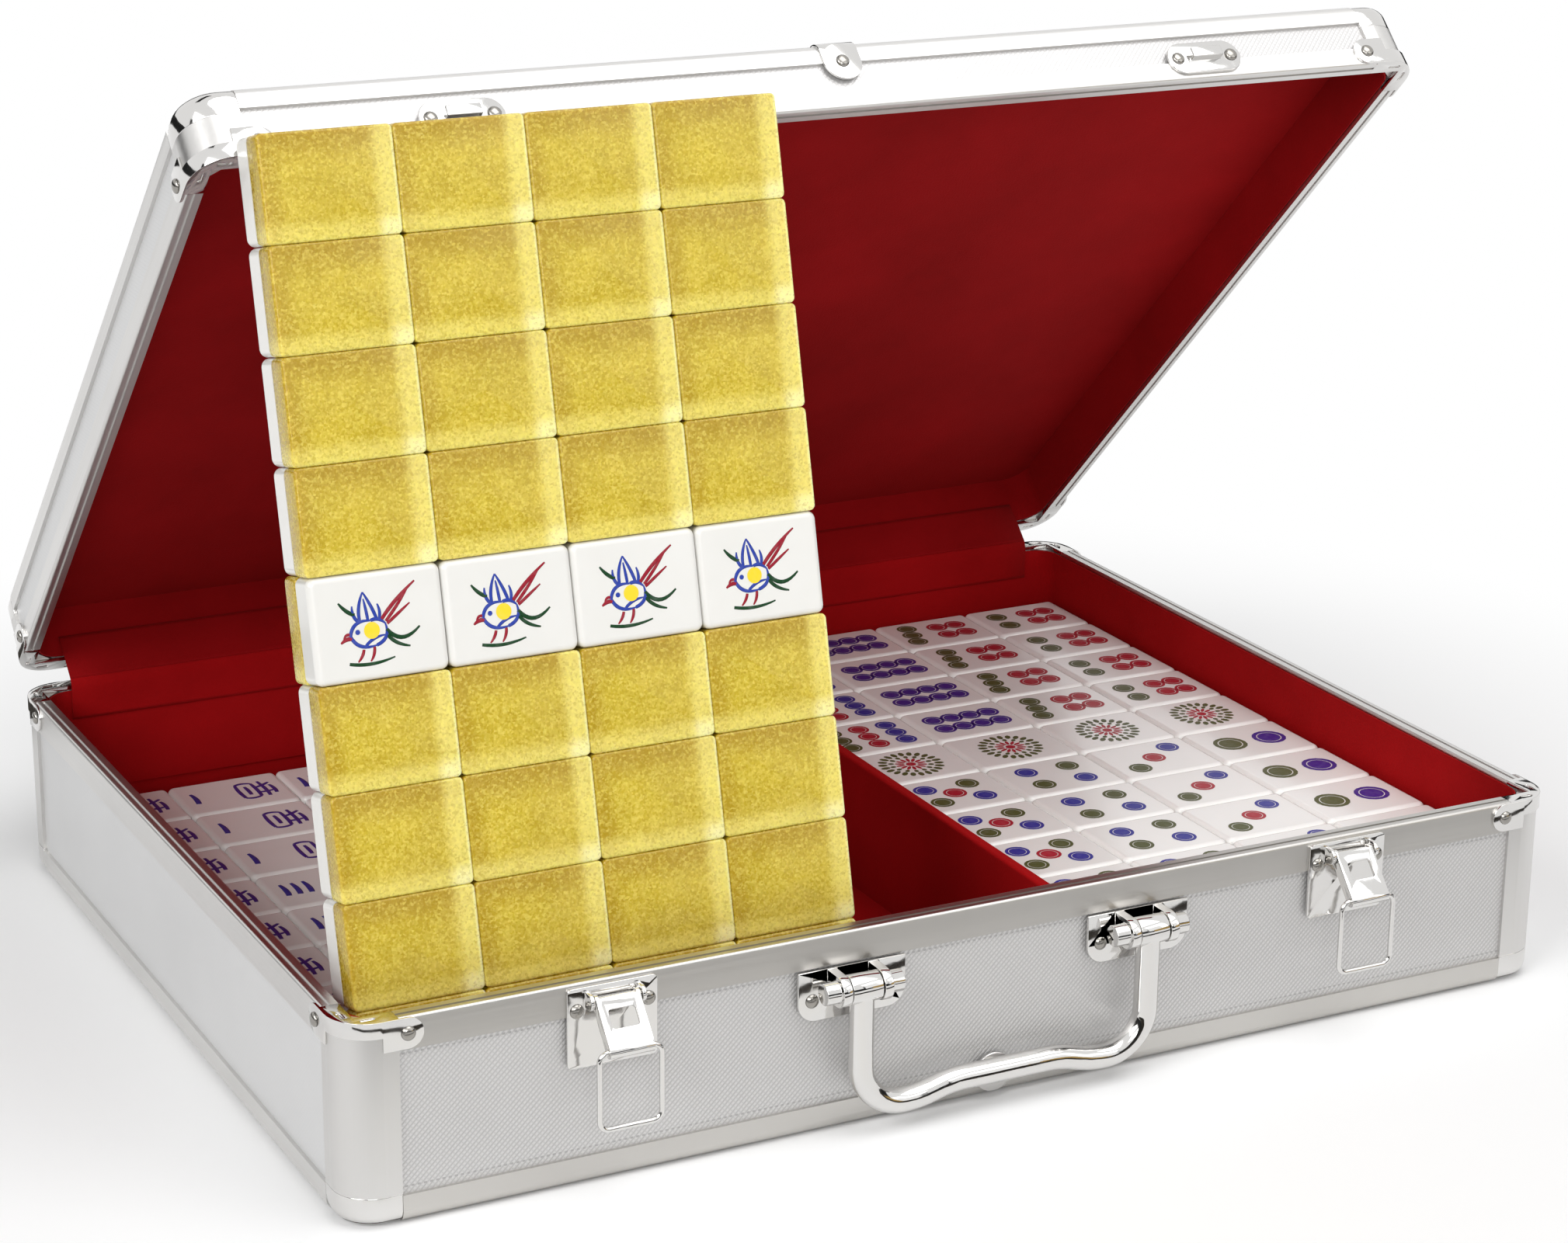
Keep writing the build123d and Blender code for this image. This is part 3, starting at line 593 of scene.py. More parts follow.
base_dots = (11.2 * mm, 52.4 * mm)
# The side boards get a paler copy of the skin with a fainter hatch: painted light, with less painted shade in
# the grooves.
sides_painted_light = {"hatch": 0.12, "color": (0.70, 0.70, 0.70)}
wear(["base_panel_front", "base_panel_back"], embossed("embossed skin front", "X", "Z", dots=base_dots))
wear(["base_panel_left", "base_panel_right"], embossed("embossed skin sides", "Y", "Z", **sides_painted_light))
lid_front_skin = embossed("embossed skin lid front", "X", "Z", lid_angle, hatch=0.5)
lid_side_skin = embossed("embossed skin lid sides", "Y", "Z", lid_angle, **sides_painted_light)
wear(["lid_panel_front", "lid_panel_back"], lid_front_skin)
wear(["lid_panel_left", "lid_panel_right"], lid_side_skin)
wear(["lid_top_panel"], embossed("embossed skin lid top", "X", "Y", lid_angle))
wear(["base_bottom_panel"], embossed("embossed skin bottom", "X", "Y"))

# %% [markdown]
# ## Red cloth
#
# The lining is a short-pile cloth glued over card. Short pile has a soft sheen at glancing angles, a fine
# fuzz, and slow patches where it has been brushed one way or the other. The cloth in the lid is a little
# deeper: a darker copy of the same cloth, painted shade for the inside of the open lid.

# %% Lining cloth
def pile_cloth(name, deep, bright):
    """Short-pile cloth with brushed patches, fine fuzz and a little sheen."""
    cloth, shader = new_finish(name, deep, roughness=0.88)
    point = object_point(cloth)
    brushed = noise(cloth, point, 16.0, 4, 0.6)
    fuzz = noise(cloth, point, 1500.0, 2, 0.7)
    base = blend_colors(cloth, map_range(cloth, brushed, 0.30, 0.72), deep, bright)
    speck = maths(cloth, "MULTIPLY", fuzz, 0.30)
    use(shader, Base_Color=blend_colors(cloth, speck, base, toned(deep, 0.45)), Specular_IOR_Level=0.1)
    use(shader, Sheen_Weight=0.05, Sheen_Roughness=0.5, Sheen_Tint=(1.0, 0.15, 0.12, 1))
    relief(cloth, shader, chain(cloth, brushed, ("MULTIPLY", 2.0), ("ADD", fuzz)), 0.00018, 0.55)
    return cloth


lining_red = pile_cloth("red lining cloth", (0.31, 0.002, 0.003), (0.43, 0.004, 0.006))
# The lid's cloth is the same cloth made darker: painted shade.
lid_red_painted_shade = pile_cloth("red lining cloth in the lid with painted shade", (0.25, 0.002, 0.003), (0.35, 0.004, 0.006))
wear(["base_lining", "divider_left", "divider_right"], lining_red)
wear(["lid_lining"], lid_red_painted_shade)

# %% [markdown]
# The same cloth is turned round the inner corners and up over the inner legs of the rim rails, so that
# hardly any metal shows inside. Each shell gets one band. A plane has its corners rounded and its face
# taken away, and the edge that is left is pulled up into a wall, which is given thickness. In the base, the
# low stretches of the band between the corners are cut away, because the tiles stand close to the wall
# there.

# %% Cloth bands round the walls
cloth_thickness = 0.5 * mm
band_inset = inner_face + 0.3 * mm + cloth_thickness / 2
band_radius = 9 * mm
straight_wall_area = 0.001  # in square metres, more than one facet of a rounded corner has


def thicken(sheet):
    """Give a sheet the thickness of the cloth, half of it to each side."""
    solid = sheet.modifiers.new("thickness", "SOLIDIFY")
    solid.thickness = cloth_thickness
    solid.offset = 0
    bpy.ops.object.modifier_apply(modifier=solid.name)


def cloth_band(name, low, high, cut_below=None):
    """A band round the inside of the walls between two heights, cut away low down between the corners."""
    deselect_all()
    bpy.ops.mesh.primitive_plane_add(size=1, location=(0, 0, low))
    bpy.context.object.scale = (case_width - 2 * band_inset, case_depth - 2 * band_inset, 1)
    band = join([bpy.context.object], name)
    edit_all()
    bpy.ops.mesh.bevel(offset=band_radius, segments=8, affect="VERTICES")
    bpy.ops.mesh.select_all(action="SELECT")
    bpy.ops.mesh.delete(type="ONLY_FACE")
    bpy.ops.mesh.select_all(action="SELECT")
    for height in [h for h in (cut_below, high) if h]:
        bpy.ops.mesh.extrude_edges_move(TRANSFORM_OT_translate={"value": (0, 0, height - low)})
        low = height
    bpy.ops.mesh.select_all(action="DESELECT")
    bpy.ops.object.mode_set(mode="OBJECT")
    for face in band.data.polygons:
        face.select = bool(cut_below) and face.center.z < cut_below and face.area > straight_wall_area
    bpy.ops.object.mode_set(mode="EDIT")
    bpy.ops.mesh.delete(type="FACE")
    finish_edit()
    thicken(band)
    bpy.ops.object.shade_smooth_by_angle(angle=math.radians(40))
    return band


floor_top = 4.5 * mm
clear_of_tiles = left_tile_top + 1.2 * mm
band_top = base_height - 1.6 * mm
around = 2 * (case_width + case_depth - 4 * band_inset) - (8 - 2 * math.pi) * band_radius
corner_area = 2 * math.pi * band_radius * (clear_of_tiles - floor_top)
base_band = cloth_band("base_cloth_band", floor_top, band_top, cut_below=clear_of_tiles)
lid_band_foot = base_height + rim_gap + 1.6 * mm
lid_band_top = 84.6 * mm
lid_band = cloth_band("lid_cloth_band", lid_band_foot, lid_band_top)
hinge_place = Matrix.Translation((0, hinge_y, hinge_z))
lid_band.matrix_world = hinge_place @ Matrix.Rotation(-lid_angle, 4, "X") @ hinge_place.inverted()
lid_band = join([lid_band], "lid_cloth_band")
base_area = around * (band_top - clear_of_tiles) + corner_area
for band, cloth, body, wide, cut in (
    (base_band, lining_red, "base", band_top - floor_top, base_area),
    (lid_band, lid_red_painted_shade, "lid", lid_band_top - lid_band_foot, None),
):
    dress(band, cloth, body, "red_cloth")
    print(band.name, "round", round(around, 4), "high", round(wide, 4))

# %% [markdown]
# A strip of the same cloth bridges the fold at the back, from the base's wall over the two rims to the
# lid's wall. Its profile is drawn as a short curve, which is turned to edges, pulled sideways into a sheet
# and given thickness. The strip is made as two sheets that meet at the fold.

# %% Cloth strip at the fold
back_wall = case_depth / 2 - inner_face
strip_width = case_width - 32 * mm
strip_steps = 24


def smooth_curve(name, points, resolution):
    """A curve object of one smooth line with these control points, selected alone, and the line."""
    curve = bpy.data.curves.new(name, "CURVE")
    curve.dimensions = "3D"
    line = curve.splines.new("NURBS")
    line.points.add(len(points) - 1)
    for point, place in zip(line.points, points):
        point.co = (*place, 1)
    line.order_u = 3
    line.use_endpoint_u = True
    line.resolution_u = resolution
    drawn = bpy.data.objects.new(name, curve)
    bpy.context.scene.collection.objects.link(drawn)
    select_only(drawn)
    return drawn, line


def cloth_strip(name, cloth, profile):
    """A sheet of cloth with a profile in the YZ plane, drawn out along X, and how long its profile is."""
    strip, _ = smooth_curve(name, [(-strip_width / 2, y, z) for y, z in profile], resolution=6)
    bpy.ops.object.convert(target="MESH")
    points = [vertex.co.copy() for vertex in strip.data.vertices]
    long = sum((points[a] - points[b]).length for a, b in (edge.vertices for edge in strip.data.edges))
    edit_all()
    for _ in range(strip_steps):
        bpy.ops.mesh.extrude_edges_move(TRANSFORM_OT_translate={"value": (strip_width / strip_steps, 0, 0)})
    finish_edit()
    thicken(strip)
    bpy.ops.object.shade_smooth()
    coat(strip, cloth)
    return strip, long


strip_front = back_wall - 1.2 * mm
flap_front = back_wall - 1.9 * mm
strip_top = lid_opened(strip_front, base_height + 9 * mm)
fold = lid_opened(flap_front, base_height - 8 * mm)
lower_profile = [
    (strip_front, base_height - 12 * mm),
    (strip_front, base_height - 7 * mm),
    (strip_front - 0.3 * mm, base_height - 2 * mm),
    (strip_front - 0.1 * mm, base_height + 0.6 * mm),
    fold,
]
upper_profile = [
    fold,
    lid_opened(flap_front, base_height - 3.5 * mm),
    lid_opened(flap_front, base_height + 2.5 * mm),
    strip_top,
]
lower_strip, lower_long = cloth_strip("fold_cloth_lower", lining_red, lower_profile)
upper_strip, upper_long = cloth_strip("fold_cloth_upper", lid_red_painted_shade, upper_profile)
print("fold at", [round(value, 4) for value in fold])
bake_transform(lower_strip)
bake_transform(upper_strip)
print("strip width", round(strip_width, 4), "lengths", round(lower_long, 4), round(upper_long, 4))

# %% [markdown]
# ## Tiles
#
# Each tile is two layers of hard plastic: a white face and a gold back full of fine glitter. The white is
# slightly translucent and polished. The tiles that lie flat are a little whiter than those of the leaning
# block: the block's faces get a darker copy of the same white, painted shade against the front lamp's light.

# %% White faces
def white_plastic(name, low, high):
    """Polished white plastic with faint clouds between two tones."""
    white, shader = new_finish(name, high, roughness=0.22)
    point = object_point(white)
    use(shader, Base_Color=blend_colors(white, noise(white, point, 60.0, 2), low, high))
    use(shader, Subsurface_Weight=0.12, Subsurface_Radius=(1.0, 0.9, 0.8), Subsurface_Scale=0.002)
    use(shader, Coat_Weight=0.25, Coat_Roughness=0.08)
    relief(white, shader, noise(white, point, 220.0, 2), 0.00004, 0.25)
    return white


# The block's copy of the white is darker: painted shade, as its faces turn to the front lamp.
block_white_painted_shade = white_plastic("white plastic block with painted shade", (0.71, 0.70, 0.665), (0.765, 0.755, 0.725))
flat_white = white_plastic("white plastic flat", (0.88, 0.87, 0.84), (0.93, 0.92, 0.90))
wear(["tile_faces_block"], block_white_painted_shade)
wear(["tile_faces_left", "tile_faces_right"], flat_white)

# %% [markdown]
# The gold back is a clear lemon body full of glitter. Each flake is a cell of a Voronoi pattern, with a
# tone of its own. Every tile also has painted shade along its top and left edge, and painted light in a
# band down its right edge and along its foot, where light gathers in the clear body, with a painted
# highlight at its lower right corner and a thin one down its right edge. The material works in the tile's
# own coordinates: the block's frame is turned upright, and the position is wrapped to one tile's pitch.
# Light that enters the body spreads under the surface, which keeps the narrow joints between tiles from
# going black.

# %% Gold backs
def span(owner, value, low, high, least=0.0, most=1.0):
    """A smooth ramp of a value between two limits."""
    return map_range(owner, value, low, high, least, most, kind="SMOOTHSTEP")


def glitter_gold(name, rotation=(0, 0, 0), location=(0, 0, 0)):
    """Lemon gold plastic with glitter, with painted shade and painted light across each tile of a grid."""
    gold, shader = new_finish(name, (0.62, 0.49, 0.06), roughness=0.3)
    point = object_point(gold, rotation=rotation, location=location)
    split = add_node(gold, "ShaderNodeSeparateXYZ", {0: point}).outputs
    u = chain(gold, split["X"], ("DIVIDE", tile_pitch_x), ("FRACT",))
    v = chain(gold, split["Y"], ("DIVIDE", tile_pitch_y), ("FRACT",))
    cells = add_node(gold, "ShaderNodeTexVoronoi", {"Vector": point, "Scale": 1500.0}).outputs["Color"]
    flake = add_node(gold, "ShaderNodeSeparateColor", {0: cells}).outputs[0]
    grain = maths(gold, "MULTIPLY", noise(gold, point, 850.0, 3, 0.7), 0.75)
    tone = chain(gold, flake, ("MULTIPLY", 0.35), ("ADD", grain))
    clouds = span(gold, noise(gold, point, 90.0, 3, 0.6), 0.3, 0.7)
    body = blend_colors(gold, clouds, (0.60, 0.46, 0.045), (0.52, 0.39, 0.030))
    # Painted shade along each tile's top and left edge, and painted light down its right edge and along its
    # foot.
    painted_shade_top = span(gold, v, 0.62, 0.97, 0.0, 0.9)
    painted_shade_left = span(gold, u, 0.20, 0.03, 0.0, 0.65)
    painted_light_right = span(gold, u, 0.78, 0.90)
    painted_light_foot = span(gold, v, 0.24, 0.08)
    right_cover_painted_light = maths(gold, "MULTIPLY", painted_light_right, 0.62)
    foot_cover_painted_light = maths(gold, "MULTIPLY", painted_light_foot, 0.5)
    # Painted shade, painted light, a painted highlight at the lower right corner, a thin painted highlight
    # down the right edge, then brighter and darker flakes.
    flakes_and_painted_light = {
        (0.39, 0.25, 0.008): maths(gold, "MAXIMUM", painted_shade_top, painted_shade_left),
        (0.86, 0.76, 0.22): maths(gold, "MAXIMUM", right_cover_painted_light, foot_cover_painted_light),
        (0.98, 0.92, 0.48): chain(gold, painted_light_right, ("MULTIPLY", painted_light_foot), ("MULTIPLY", 0.7)),
        (0.97, 0.88, 0.42): span(gold, u, 0.965, 0.985, 0.0, 0.8),
        (0.98, 0.85, 0.21): span(gold, tone, 0.52, 0.80, 0.0, 0.34),
        (0.34, 0.22, 0.006): span(gold, tone, 0.54, 0.30, 0.0, 0.36),
    }
    for color, cover in flakes_and_painted_light.items():
        body = blend_colors(gold, cover, body, color)
    use(shader, Base_Color=body, Roughness=span(gold, flake, 0.0, 1.0, 0.22, 0.42))
    use(shader, Subsurface_Weight=0.65, Subsurface_Radius=(1.0, 0.75, 0.15), Subsurface_Scale=0.004)
    use(shader, Specular_IOR_Level=0.35, Coat_Weight=0.25, Coat_Roughness=0.08)
    relief(gold, shader, tone, 0.00016, 0.45)
    return gold


upright = math.radians(90) - block_lean
block_left = block_foot - Vector((tile_columns / 2 * tile_pitch_x, 0, 0))
block_shift = -(Matrix.Rotation(-upright, 3, "X") @ block_left)
block_gold = glitter_gold("gold glitter block", rotation=(-upright, 0, 0), location=block_shift)
flat_gold = glitter_gold("gold glitter flat")
wear(["tile_backs_block", "tile_backs_left", "tile_backs_right"], flat_gold)

# %% [markdown]
# The backs in the leaning block are seen from close by, and they press against each other, so they are
# modelled again without the working gap between the solids, which they stand for. One is a box with its
# four long corners bevelled, and then all its other edges. It is copied over the block's grid, where one
# row is turned round so that its backs are behind.

# %% Backs of the leaning block
block_place = Matrix.Translation(block_foot) @ Matrix.Rotation(upright, 4, "X")
back_thick = 9.3 * mm
face_thick = 10.2 * mm
back_gap = 0.03 * mm
turned_row = 4


def block_middle(column, row):
    """The middle of a tile in the leaning block, in the block's own plane."""
    return (column - (tile_columns - 1) / 2) * tile_pitch_x, (row + 0.5) * tile_pitch_y


def bevel_edges(piece, chosen, offset, segments):
    """Bevel the edges of a piece that a test on their two ends chooses."""
    bpy.ops.object.mode_set(mode="EDIT")
    bpy.ops.mesh.select_mode(type="EDGE")
    bpy.ops.mesh.select_all(action="DESELECT")
    bpy.ops.object.mode_set(mode="OBJECT")
    points = piece.data.vertices
    for edge in piece.data.edges:
        edge.select = chosen(*(points[index].co for index in edge.vertices))
    bpy.ops.object.mode_set(mode="EDIT")
    bpy.ops.mesh.bevel(offset=offset, segments=segments, affect="EDGES")
    bpy.ops.object.mode_set(mode="OBJECT")


deselect_all()
bpy.ops.mesh.primitive_cube_add(size=1)
bpy.context.object.scale = (tile_pitch_x - back_gap, tile_pitch_y - back_gap, back_thick)
back_master = join([bpy.context.object], "back_master")
bevel_edges(back_master, lambda a, b: abs(a.z - b.z) > back_thick / 2, 1.6 * mm, 4)
bevel_edges(back_master, lambda a, b: abs(a.z - b.z) < 0.1 * mm, 0.8 * mm, 3)
bpy.ops.object.shade_smooth_by_angle(angle=math.radians(40))
backs = []
for row in range(tile_rows):
    depth = back_thick / 2 + (face_thick if row == turned_row else 0)
    for column in range(tile_columns):
        back = own_copy(back_master)
        back.matrix_world = block_place @ Matrix.Translation((*block_middle(column, row), -depth))
        backs.append(back)
dress(join(backs, "tile_backs_block_soft"), block_gold, "tile_block", "tile_back", "tile_backs_block")
bpy.data.objects.remove(back_master)

# %% [markdown]
# ### Printing
#
# The faces carry printed dots, strokes and birds. Each kind is modelled once, flat, and stamped: every copy
# gets its own mesh and its place, and all the copies of one colour are joined. The inks are slightly
# glossy.

# %% Inks and stamping
def ink(name, color):
    """Printing ink with slightly uneven cover."""
    material, shader = new_finish(name, color, roughness=0.35)
    uneven = noise(material, object_point(material), 500.0, 3)
    thin = tuple(0.75 * c + 0.25 * 0.8 for c in color)
    cover = map_range(material, uneven, 0.45, 0.75, most=0.2)
    use(shader, Base_Color=blend_colors(material, cover, color, thin), Specular_IOR_Level=0.2)
    return material


inks = {
    "blue": ink("blue ink", (0.035, 0.035, 0.29)),
    "deep_blue": ink("deep blue ink", (0.022, 0.048, 0.32)),
    "purple": ink("purple ink", (0.055, 0.022, 0.24)),
    "green": ink("green ink", (0.085, 0.095, 0.028)),
    "leaf": ink("leaf ink", (0.006, 0.045, 0.013)),
    "red": ink("red ink", (0.40, 0.016, 0.032)),
    "deep_red": ink("deep red ink", (0.28, 0.010, 0.024)),
    "yellow": ink("yellow ink", (0.85, 0.62, 0.03)),
}


def flat_disc(radius, vertices=16, place=(0, 0, 0)):
    """A flat filled disc."""
    deselect_all()
    bpy.ops.mesh.primitive_circle_add(vertices=vertices, radius=radius, fill_type="NGON", location=place)
    return bpy.context.object


def flat_ring(outer, inner, vertices=16):
    """A flat ring: a circle of edges, extruded and drawn inwards."""
    deselect_all()
    bpy.ops.mesh.primitive_circle_add(vertices=vertices, radius=outer)
    edit_all()
    bpy.ops.mesh.extrude_edges_move()
    bpy.ops.transform.resize(value=(inner / outer, inner / outer, 1))
    finish_edit()
    ring = bpy.context.object
    if ring.data.polygons[0].normal.z < 0:
        edit_all()
        bpy.ops.mesh.flip_normals()
        bpy.ops.object.mode_set(mode="OBJECT")
    return ring


def stamp(master, places):
    """Copies of a master at (x, y, z, scale) places, each with its own mesh."""
    copies = []
    for x, y, z, scale in places:
        copy = own_copy(master)
        copy.location = (x, y, z)
        copy.scale = (scale, scale, 1)
        copies.append(copy)
    return copies


def print_on_tiles(copies, name, color, body="base"):
    """Join printed copies and give them their ink."""
    dress(join(copies, name), inks[color], body, "tile_face")


# %% [markdown]
# A dot is a ring round a disc. The numbers of dots are laid out in two or three columns along the tile's
# long side, and the single dot is a large wheel of petals. Each entry below is a colour, a place in
# millimetres from the tile's middle, and a radius.

# %% Dot layouts
small = 4.2


def pairs(color, places, apart):
    """Dots two by two across the tile, at each of some places along it."""
    return [(color, x, side * apart, small) for x in places for side in (-1, 1)]


nine_columns = (("green", -11.0), ("red", 0), ("blue", 11.0))
layouts = {
    2: [("green", -8.2, 0, 6.2), ("purple", 8.2, 0, 6.2)],
    3: [("green", -10.0, -7.0, small), ("red", 0, 0, small), ("blue", 10.0, 7.0, small)],
    4: [(color, s * 8.3, s * y, small) for color, y in (("blue", -6.2), ("green", 6.2)) for s in (-1, 1)],
    6: pairs("green", [-10.6], 5.2) + pairs("red", [2.4, 10.4], 4.6),
    7: [("green", -11.0 + 1.6 * s, 7.4 * s, 4.0) for s in (-1, 0, 1)] + pairs("red", [2.4, 10.4], 4.6),
    8: pairs("purple", [-11.4, -3.8, 3.8, 11.4], 4.6),
    9: [(color, x, y, 3.9) for color, x in nine_columns for y in (-7.8, 0, 7.8)],
}
layouts[5] = layouts[4] + [("red", 0, 0, small)]
front_numbers = (5, 4, 3, 2)
back_numbers = (9, 8, 7, 6)
wheel_row = 4
right_print = right_tile_top + print_lift
print("dots on each number", {number: len(dots) for number, dots in sorted(layouts.items())})


def tile_middle(grid_x, column, row):
    """The middle of a tile in a flat grid."""
    x = grid_x + (column - (tile_columns - 1) / 2) * tile_pitch_x
    return x, tiles_y + (row - (tile_rows - 1) / 2) * tile_pitch_y


# %% Stamp the dots
dot = join([flat_ring(1.0, 0.74), flat_disc(0.68)], "dot_master")
places = {color: [] for color in inks}
for column in range(tile_columns):
    for row in [r for r in range(tile_rows) if r != wheel_row]:
        number = front_numbers[column] if row < wheel_row else back_numbers[column]
        cx, cy = tile_middle(right_tiles_x, column, row)
        for color, x, y, radius in layouts[number]:
            places[color].append((cx + x * mm, cy + y * mm, right_print, radius * mm))
for color in ("blue", "purple", "green", "red"):
    print_on_tiles(stamp(dot, places[color]), f"dots_{color}_right", color)

# %% [markdown]
# The wheel has two rings of dark petals and an inner ring of red ones round a red middle. Each petal is a
# narrow disc, set at its place round the middle and turned to point outwards.

# %% Wheels on the single-dot tiles
def petal_ring(name, count, radius, length, width):
    """Petals set radially round a circle."""
    petals = []
    for index in range(count):
        turn = 2 * math.pi * index / count
        petal = flat_disc(1.0, 8, (radius * math.cos(turn), radius * math.sin(turn), 0))
        petal.scale = (length / 2, width / 2, 1)
        petal.rotation_euler = (0, 0, turn)
        petals.append(petal)
    return join(petals, name)


outer_petals = petal_ring("outer_petals", 22, 10.0 * mm, 3.6 * mm, 2.1 * mm)
middle_petals = petal_ring("middle_petals", 14, 7.0 * mm, 2.2 * mm, 1.7 * mm)
inner_petals = petal_ring("inner_petals", 14, 4.0 * mm, 3.6 * mm, 1.3 * mm)
wheel_green = join([outer_petals, middle_petals], "wheel_green_master")
wheel_red = join([inner_petals, flat_disc(1.8 * mm)], "wheel_red_master")
middles = [tile_middle(right_tiles_x, column, wheel_row) for column in range(tile_columns)]
wheel_places = [(x, y, right_print, 1.0) for x, y in middles]
for master, color in ((wheel_green, "green"), (wheel_red, "red")):
    print_on_tiles(stamp(master, wheel_places), f"wheels_{color}_right", color)

# %% [markdown]
# Strokes are drawn with a brush on the left tiles and on the leaning block. A stroke is a short curve with
# a round bevel that swells and tapers, turned to a mesh and pressed flat.

# %% Brush strokes
stroke_flatness = 0.08


def brush_stroke(points, width, taper):
    """A flat stroke through three points, in millimetres, in the XY plane, with its swell at each."""
    stroke, line = smooth_curve("stroke", [(x * mm, y * mm, 0) for x, y in points], resolution=5)
    for point, swell in zip(line.points, taper):
        point.radius = swell
    stroke.data.bevel_depth = width / 2 * mm
    stroke.data.bevel_resolution = 1
    stroke.data.use_fill_caps = True
    bpy.ops.object.convert(target="MESH")
    stroke.scale = (1, 1, stroke_flatness)
    return stroke


# %% [markdown]
# The left tiles carry one to three bars on the left and a denser sign on the right. The sign here is a
# plain box with crossed strokes over it, and it spells nothing.

# %% Numerals and signs on the left tiles
bar_places = (-14.5, -10.5, -6.5)
numerals = {}
for bars in (1, 2, 3):
    bar_lines = [[(x, -5.0), (x + 1.0, 0), (x, 5.0)] for x in bar_places[:bars]]
    numerals[bars] = join([brush_stroke(line, 2.4, (0.8, 1.0, 0.5)) for line in bar_lines], f"numeral_{bars}")
sign_lines = [
    [(2.4, -6.6), (1.6, 0), (2.4, 6.6)],
    [(2.4, 6.6), (5.0, 8.4), (8.2, 6.4)],
    [(2.4, -6.6), (5.0, -8.4), (8.2, -6.4)],
    [(8.2, -6.4), (8.8, 0), (8.2, 6.4)],
    [(5.2, -4.0), (5.6, 0), (5.2, 4.2)],
    [(8.6, -2.6), (11.0, -3.4), (13.8, -2.4)],
    [(8.6, 2.2), (11.4, 3.0), (14.4, 5.4)],
    [(11.2, -7.2), (12.0, 0), (11.0, 7.6)],
    [(14.2, -5.4), (15.0, -1.0), (14.0, 3.0)],
]
sign = join([brush_stroke(line, 1.9, (0.7, 1.0, 0.6)) for line in sign_lines], "sign_master")
left_numerals, left_signs = [], []
for column in range(tile_columns):
    for row in range(tile_rows):
        place = (*tile_middle(left_tiles_x, column, row), left_tile_top, 1.0)
        left_numerals += stamp(numerals[1 + (column + row // 3) % 3], [place])
        left_signs += stamp(sign, [place])
print_on_tiles(left_numerals, "numerals_left", "blue")
print_on_tiles(left_signs, "signs_left", "purple")

# %% [markdown]
# The turned row shows a small bird on each tile, in blue, red, green and yellow. It faces left on a twig,
# with a raised wing and three tail feathers. Its strokes are listed by colour as three points and a width.

# %% Bird
bird_strokes = {
    "deep_blue": [
        ([(-8.4, -2.4), (-7.4, 2.6), (-1.6, 1.6)], 1.5),
        ([(-8.4, -2.4), (-6.4, -7.2), (-0.4, -6.0)], 1.5),
        ([(-0.4, -6.0), (4.4, -4.6), (3.0, 0.2)], 1.5),
        ([(-1.6, 1.6), (0.8, 2.6), (3.0, 0.2)], 1.5),
        ([(-5.0, 1.8), (-5.6, 6.0), (-3.2, 10.4)], 1.4),
        ([(0.4, 1.8), (-0.6, 5.6), (-3.2, 10.4)], 1.4),
        ([(-2.4, 1.8), (-2.6, 4.6), (-3.2, 8.4)], 1.3),
        ([(-5.4, 1.6), (-7.4, 3.4), (-7.0, 6.6)], 1.4),
        ([(1.2, 1.8), (2.0, 3.8), (1.0, 6.4)], 1.3),
        ([(-3.8, -5.8), (-1.4, -3.4), (2.6, -3.2)], 1.3),
    ],
    "deep_red": [
        ([(-8.0, -3.2), (-9.6, -2.6), (-11.6, -4.2)], 1.7),
        ([(-8.2, -2.0), (-9.8, -1.2), (-10.6, -3.0)], 1.2),
        ([(2.0, 1.6), (6.4, 6.8), (13.6, 11.8)], 1.6),
        ([(3.2, 0.8), (7.4, 5.0), (11.2, 10.0)], 1.4),
        ([(3.6, 0.0), (7.0, 2.4), (11.4, 5.4)], 1.3),
        ([(-4.6, -6.8), (-5.0, -8.8), (-6.8, -10.4)], 1.3),
        ([(-1.2, -6.4), (-1.2, -8.8), (-2.8, -10.6)], 1.3),
    ],
    "leaf": [
        ([(3.2, -1.6), (7.6, -7.6), (13.8, -2.0)], 1.7),
        ([(3.4, -3.4), (5.4, -6.6), (10.2, -7.6)], 1.5),
        ([(-9.6, -10.6), (-2.6, -12.4), (5.0, -10.2)], 1.4),
        ([(-6.4, 3.8), (-9.2, 5.0), (-11.2, 8.0)], 1.6),
    ],
}
bird_shift = -1.0 * mm
bird_size = 0.94
bird_eye = (-6.0 * mm, -1.4 * mm)
bird_breast = (-1.4 * mm, -1.3 * mm)


def print_on_block(copies, name, color):
    """Join printed copies, lean them with the block and give them their ink."""
    leaning = join(copies, name)
    leaning.matrix_world = block_place
    print_on_tiles([leaning], name, color, "tile_block")


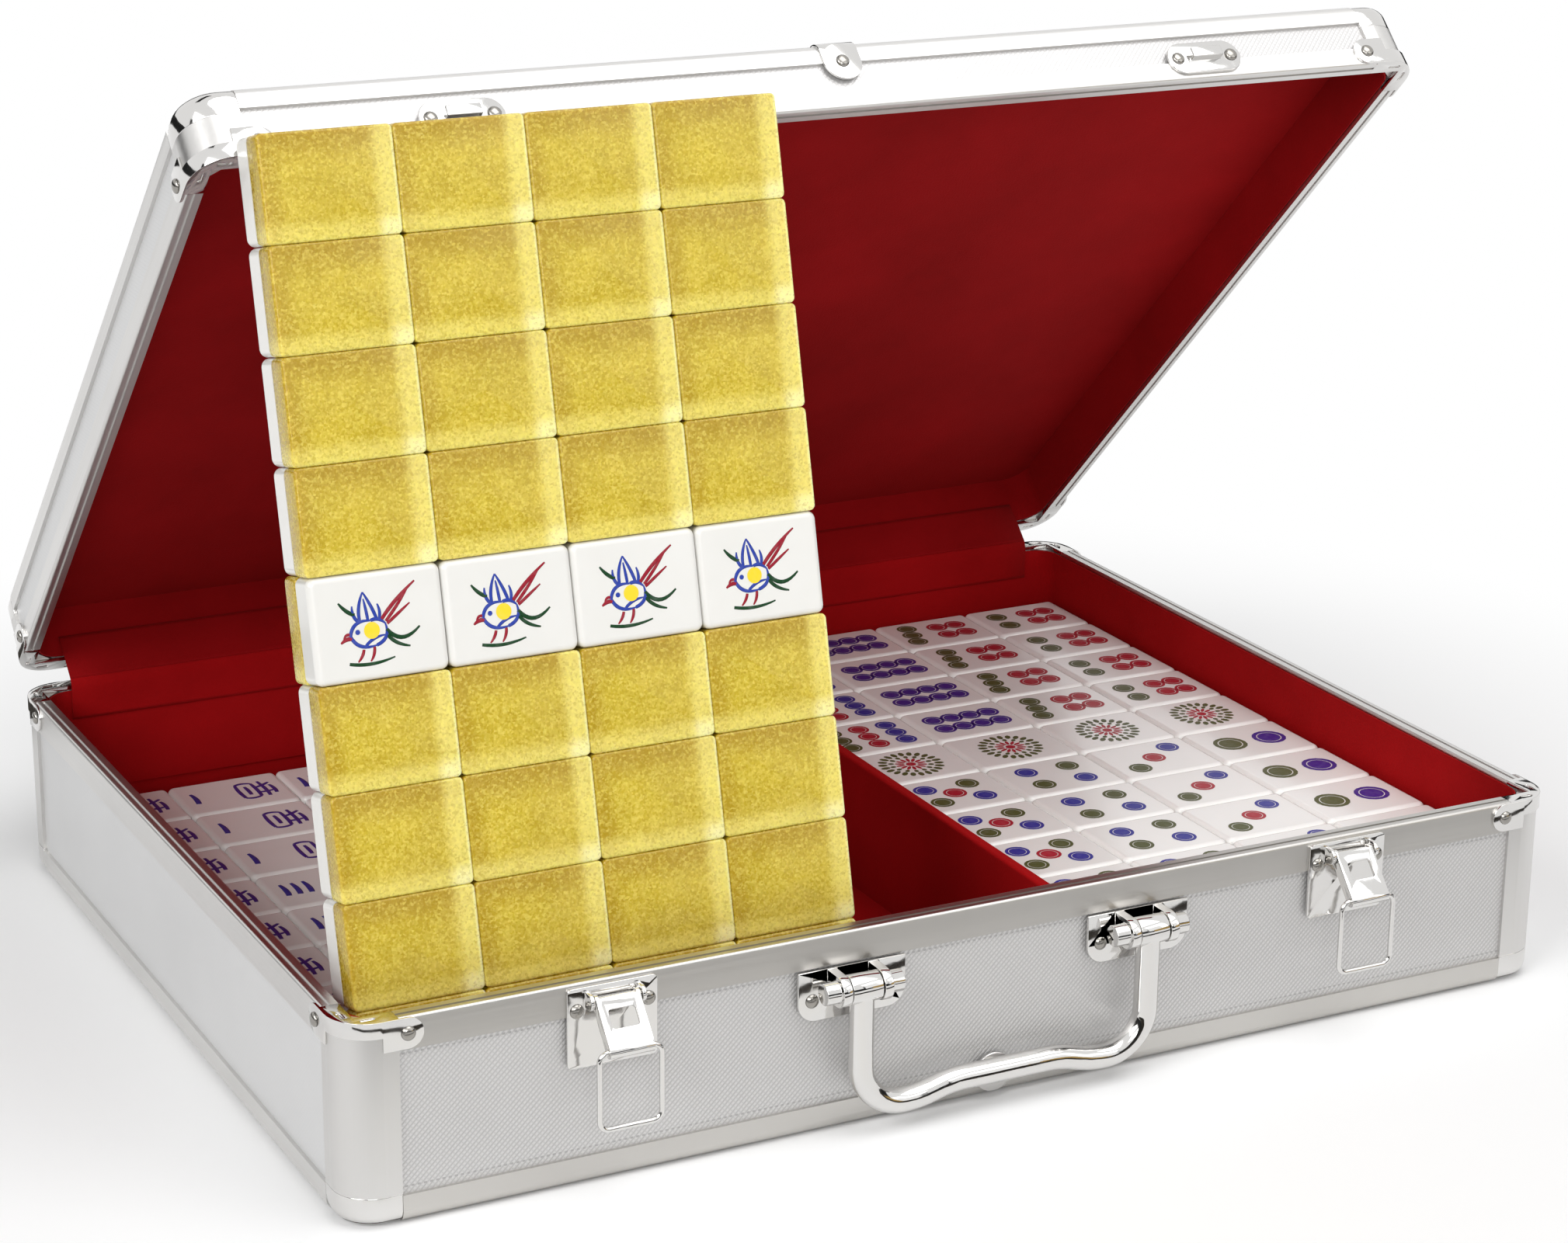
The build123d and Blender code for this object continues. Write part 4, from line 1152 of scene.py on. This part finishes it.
middles = [block_middle(column, turned_row) for column in range(tile_columns)]
birds = [(x + bird_shift, y) for x, y in middles]
for color, strokes in bird_strokes.items():
    drawn = [brush_stroke(points, width, (0.7, 1.0, 0.35)) for points, width in strokes]
    master = join(drawn, f"bird_{color}_master")
    if color == "deep_blue":
        master = join([master, flat_disc(0.8 * mm, 10, (*bird_eye, print_lift))], "bird_with_eye_master")
    print_on_block(stamp(master, [(x, y, 0.0, bird_size) for x, y in birds]), f"birds_{color}", color)
    bpy.data.objects.remove(master)
breast = flat_disc(2.4 * mm, 20)
breast_places = [(x + bird_breast[0], y + bird_breast[1], print_lift, 1.0) for x, y in birds]
print_on_block(stamp(breast, breast_places), "birds_yellow", "yellow")

# %% [markdown]
# The other rows of the block turn their faces to the back. With the bird, which is the first of its suit,
# they make up the suit of sticks, from two at the foot to nine at the top, with the same number all along a
# row. A stick is one stroke with a waist, like a joint of cane. Each number is laid out in two or three
# lines along the tile.

# %% Sticks on the back of the block
stick_lines = {
    2: (1, 1), 3: (1, 2), 4: (2, 2), 5: (2, 1, 2),
    6: (3, 3), 7: (1, 3, 3), 8: (3, 2, 3), 9: (3, 3, 3),
}
stick_steps = {2: 16.0 * mm, 3: 11.8 * mm}
stick_gap = 8.0 * mm
back_of_block = -(back_thick + face_thick)
sticks = {}
for lines, half in ((2, 6.2), (3, 4.5)):
    stick = brush_stroke([(-half, 0), (0, 0), (half, 0)], 3.8, (1.0, 0.4, 1.0))
    sticks[lines] = join([stick], f"stick_{lines}_master")
stick_copies = {"leaf": [], "red": [], "blue": []}
for row in [r for r in range(tile_rows) if r != turned_row]:
    number = row + 2 if row < turned_row else row + 1
    lines = stick_lines[number]
    for column in range(tile_columns):
        cx, cy = block_middle(column, row)
        for line, count in enumerate(lines):
            for place in range(count):
                x = cx + (line - (len(lines) - 1) / 2) * stick_steps[len(lines)]
                y = cy + (place - (count - 1) / 2) * stick_gap
                color = "leaf"
                if (count == 1 and number > 3) or (number == 9 and place == 1):
                    color = "red"
                elif (count == 2 and (line + place) % 2) or (number == 9 and place == 2):
                    color = "blue"
                stick_copies[color] += stamp(sticks[len(lines)], [(x, y, back_of_block, 1.0)])
for color, copies in stick_copies.items():
    print_on_block(copies, f"sticks_{color}_block", color)
for master in (breast, dot, wheel_green, wheel_red, sign, *numerals.values(), *sticks.values()):
    bpy.data.objects.remove(master)
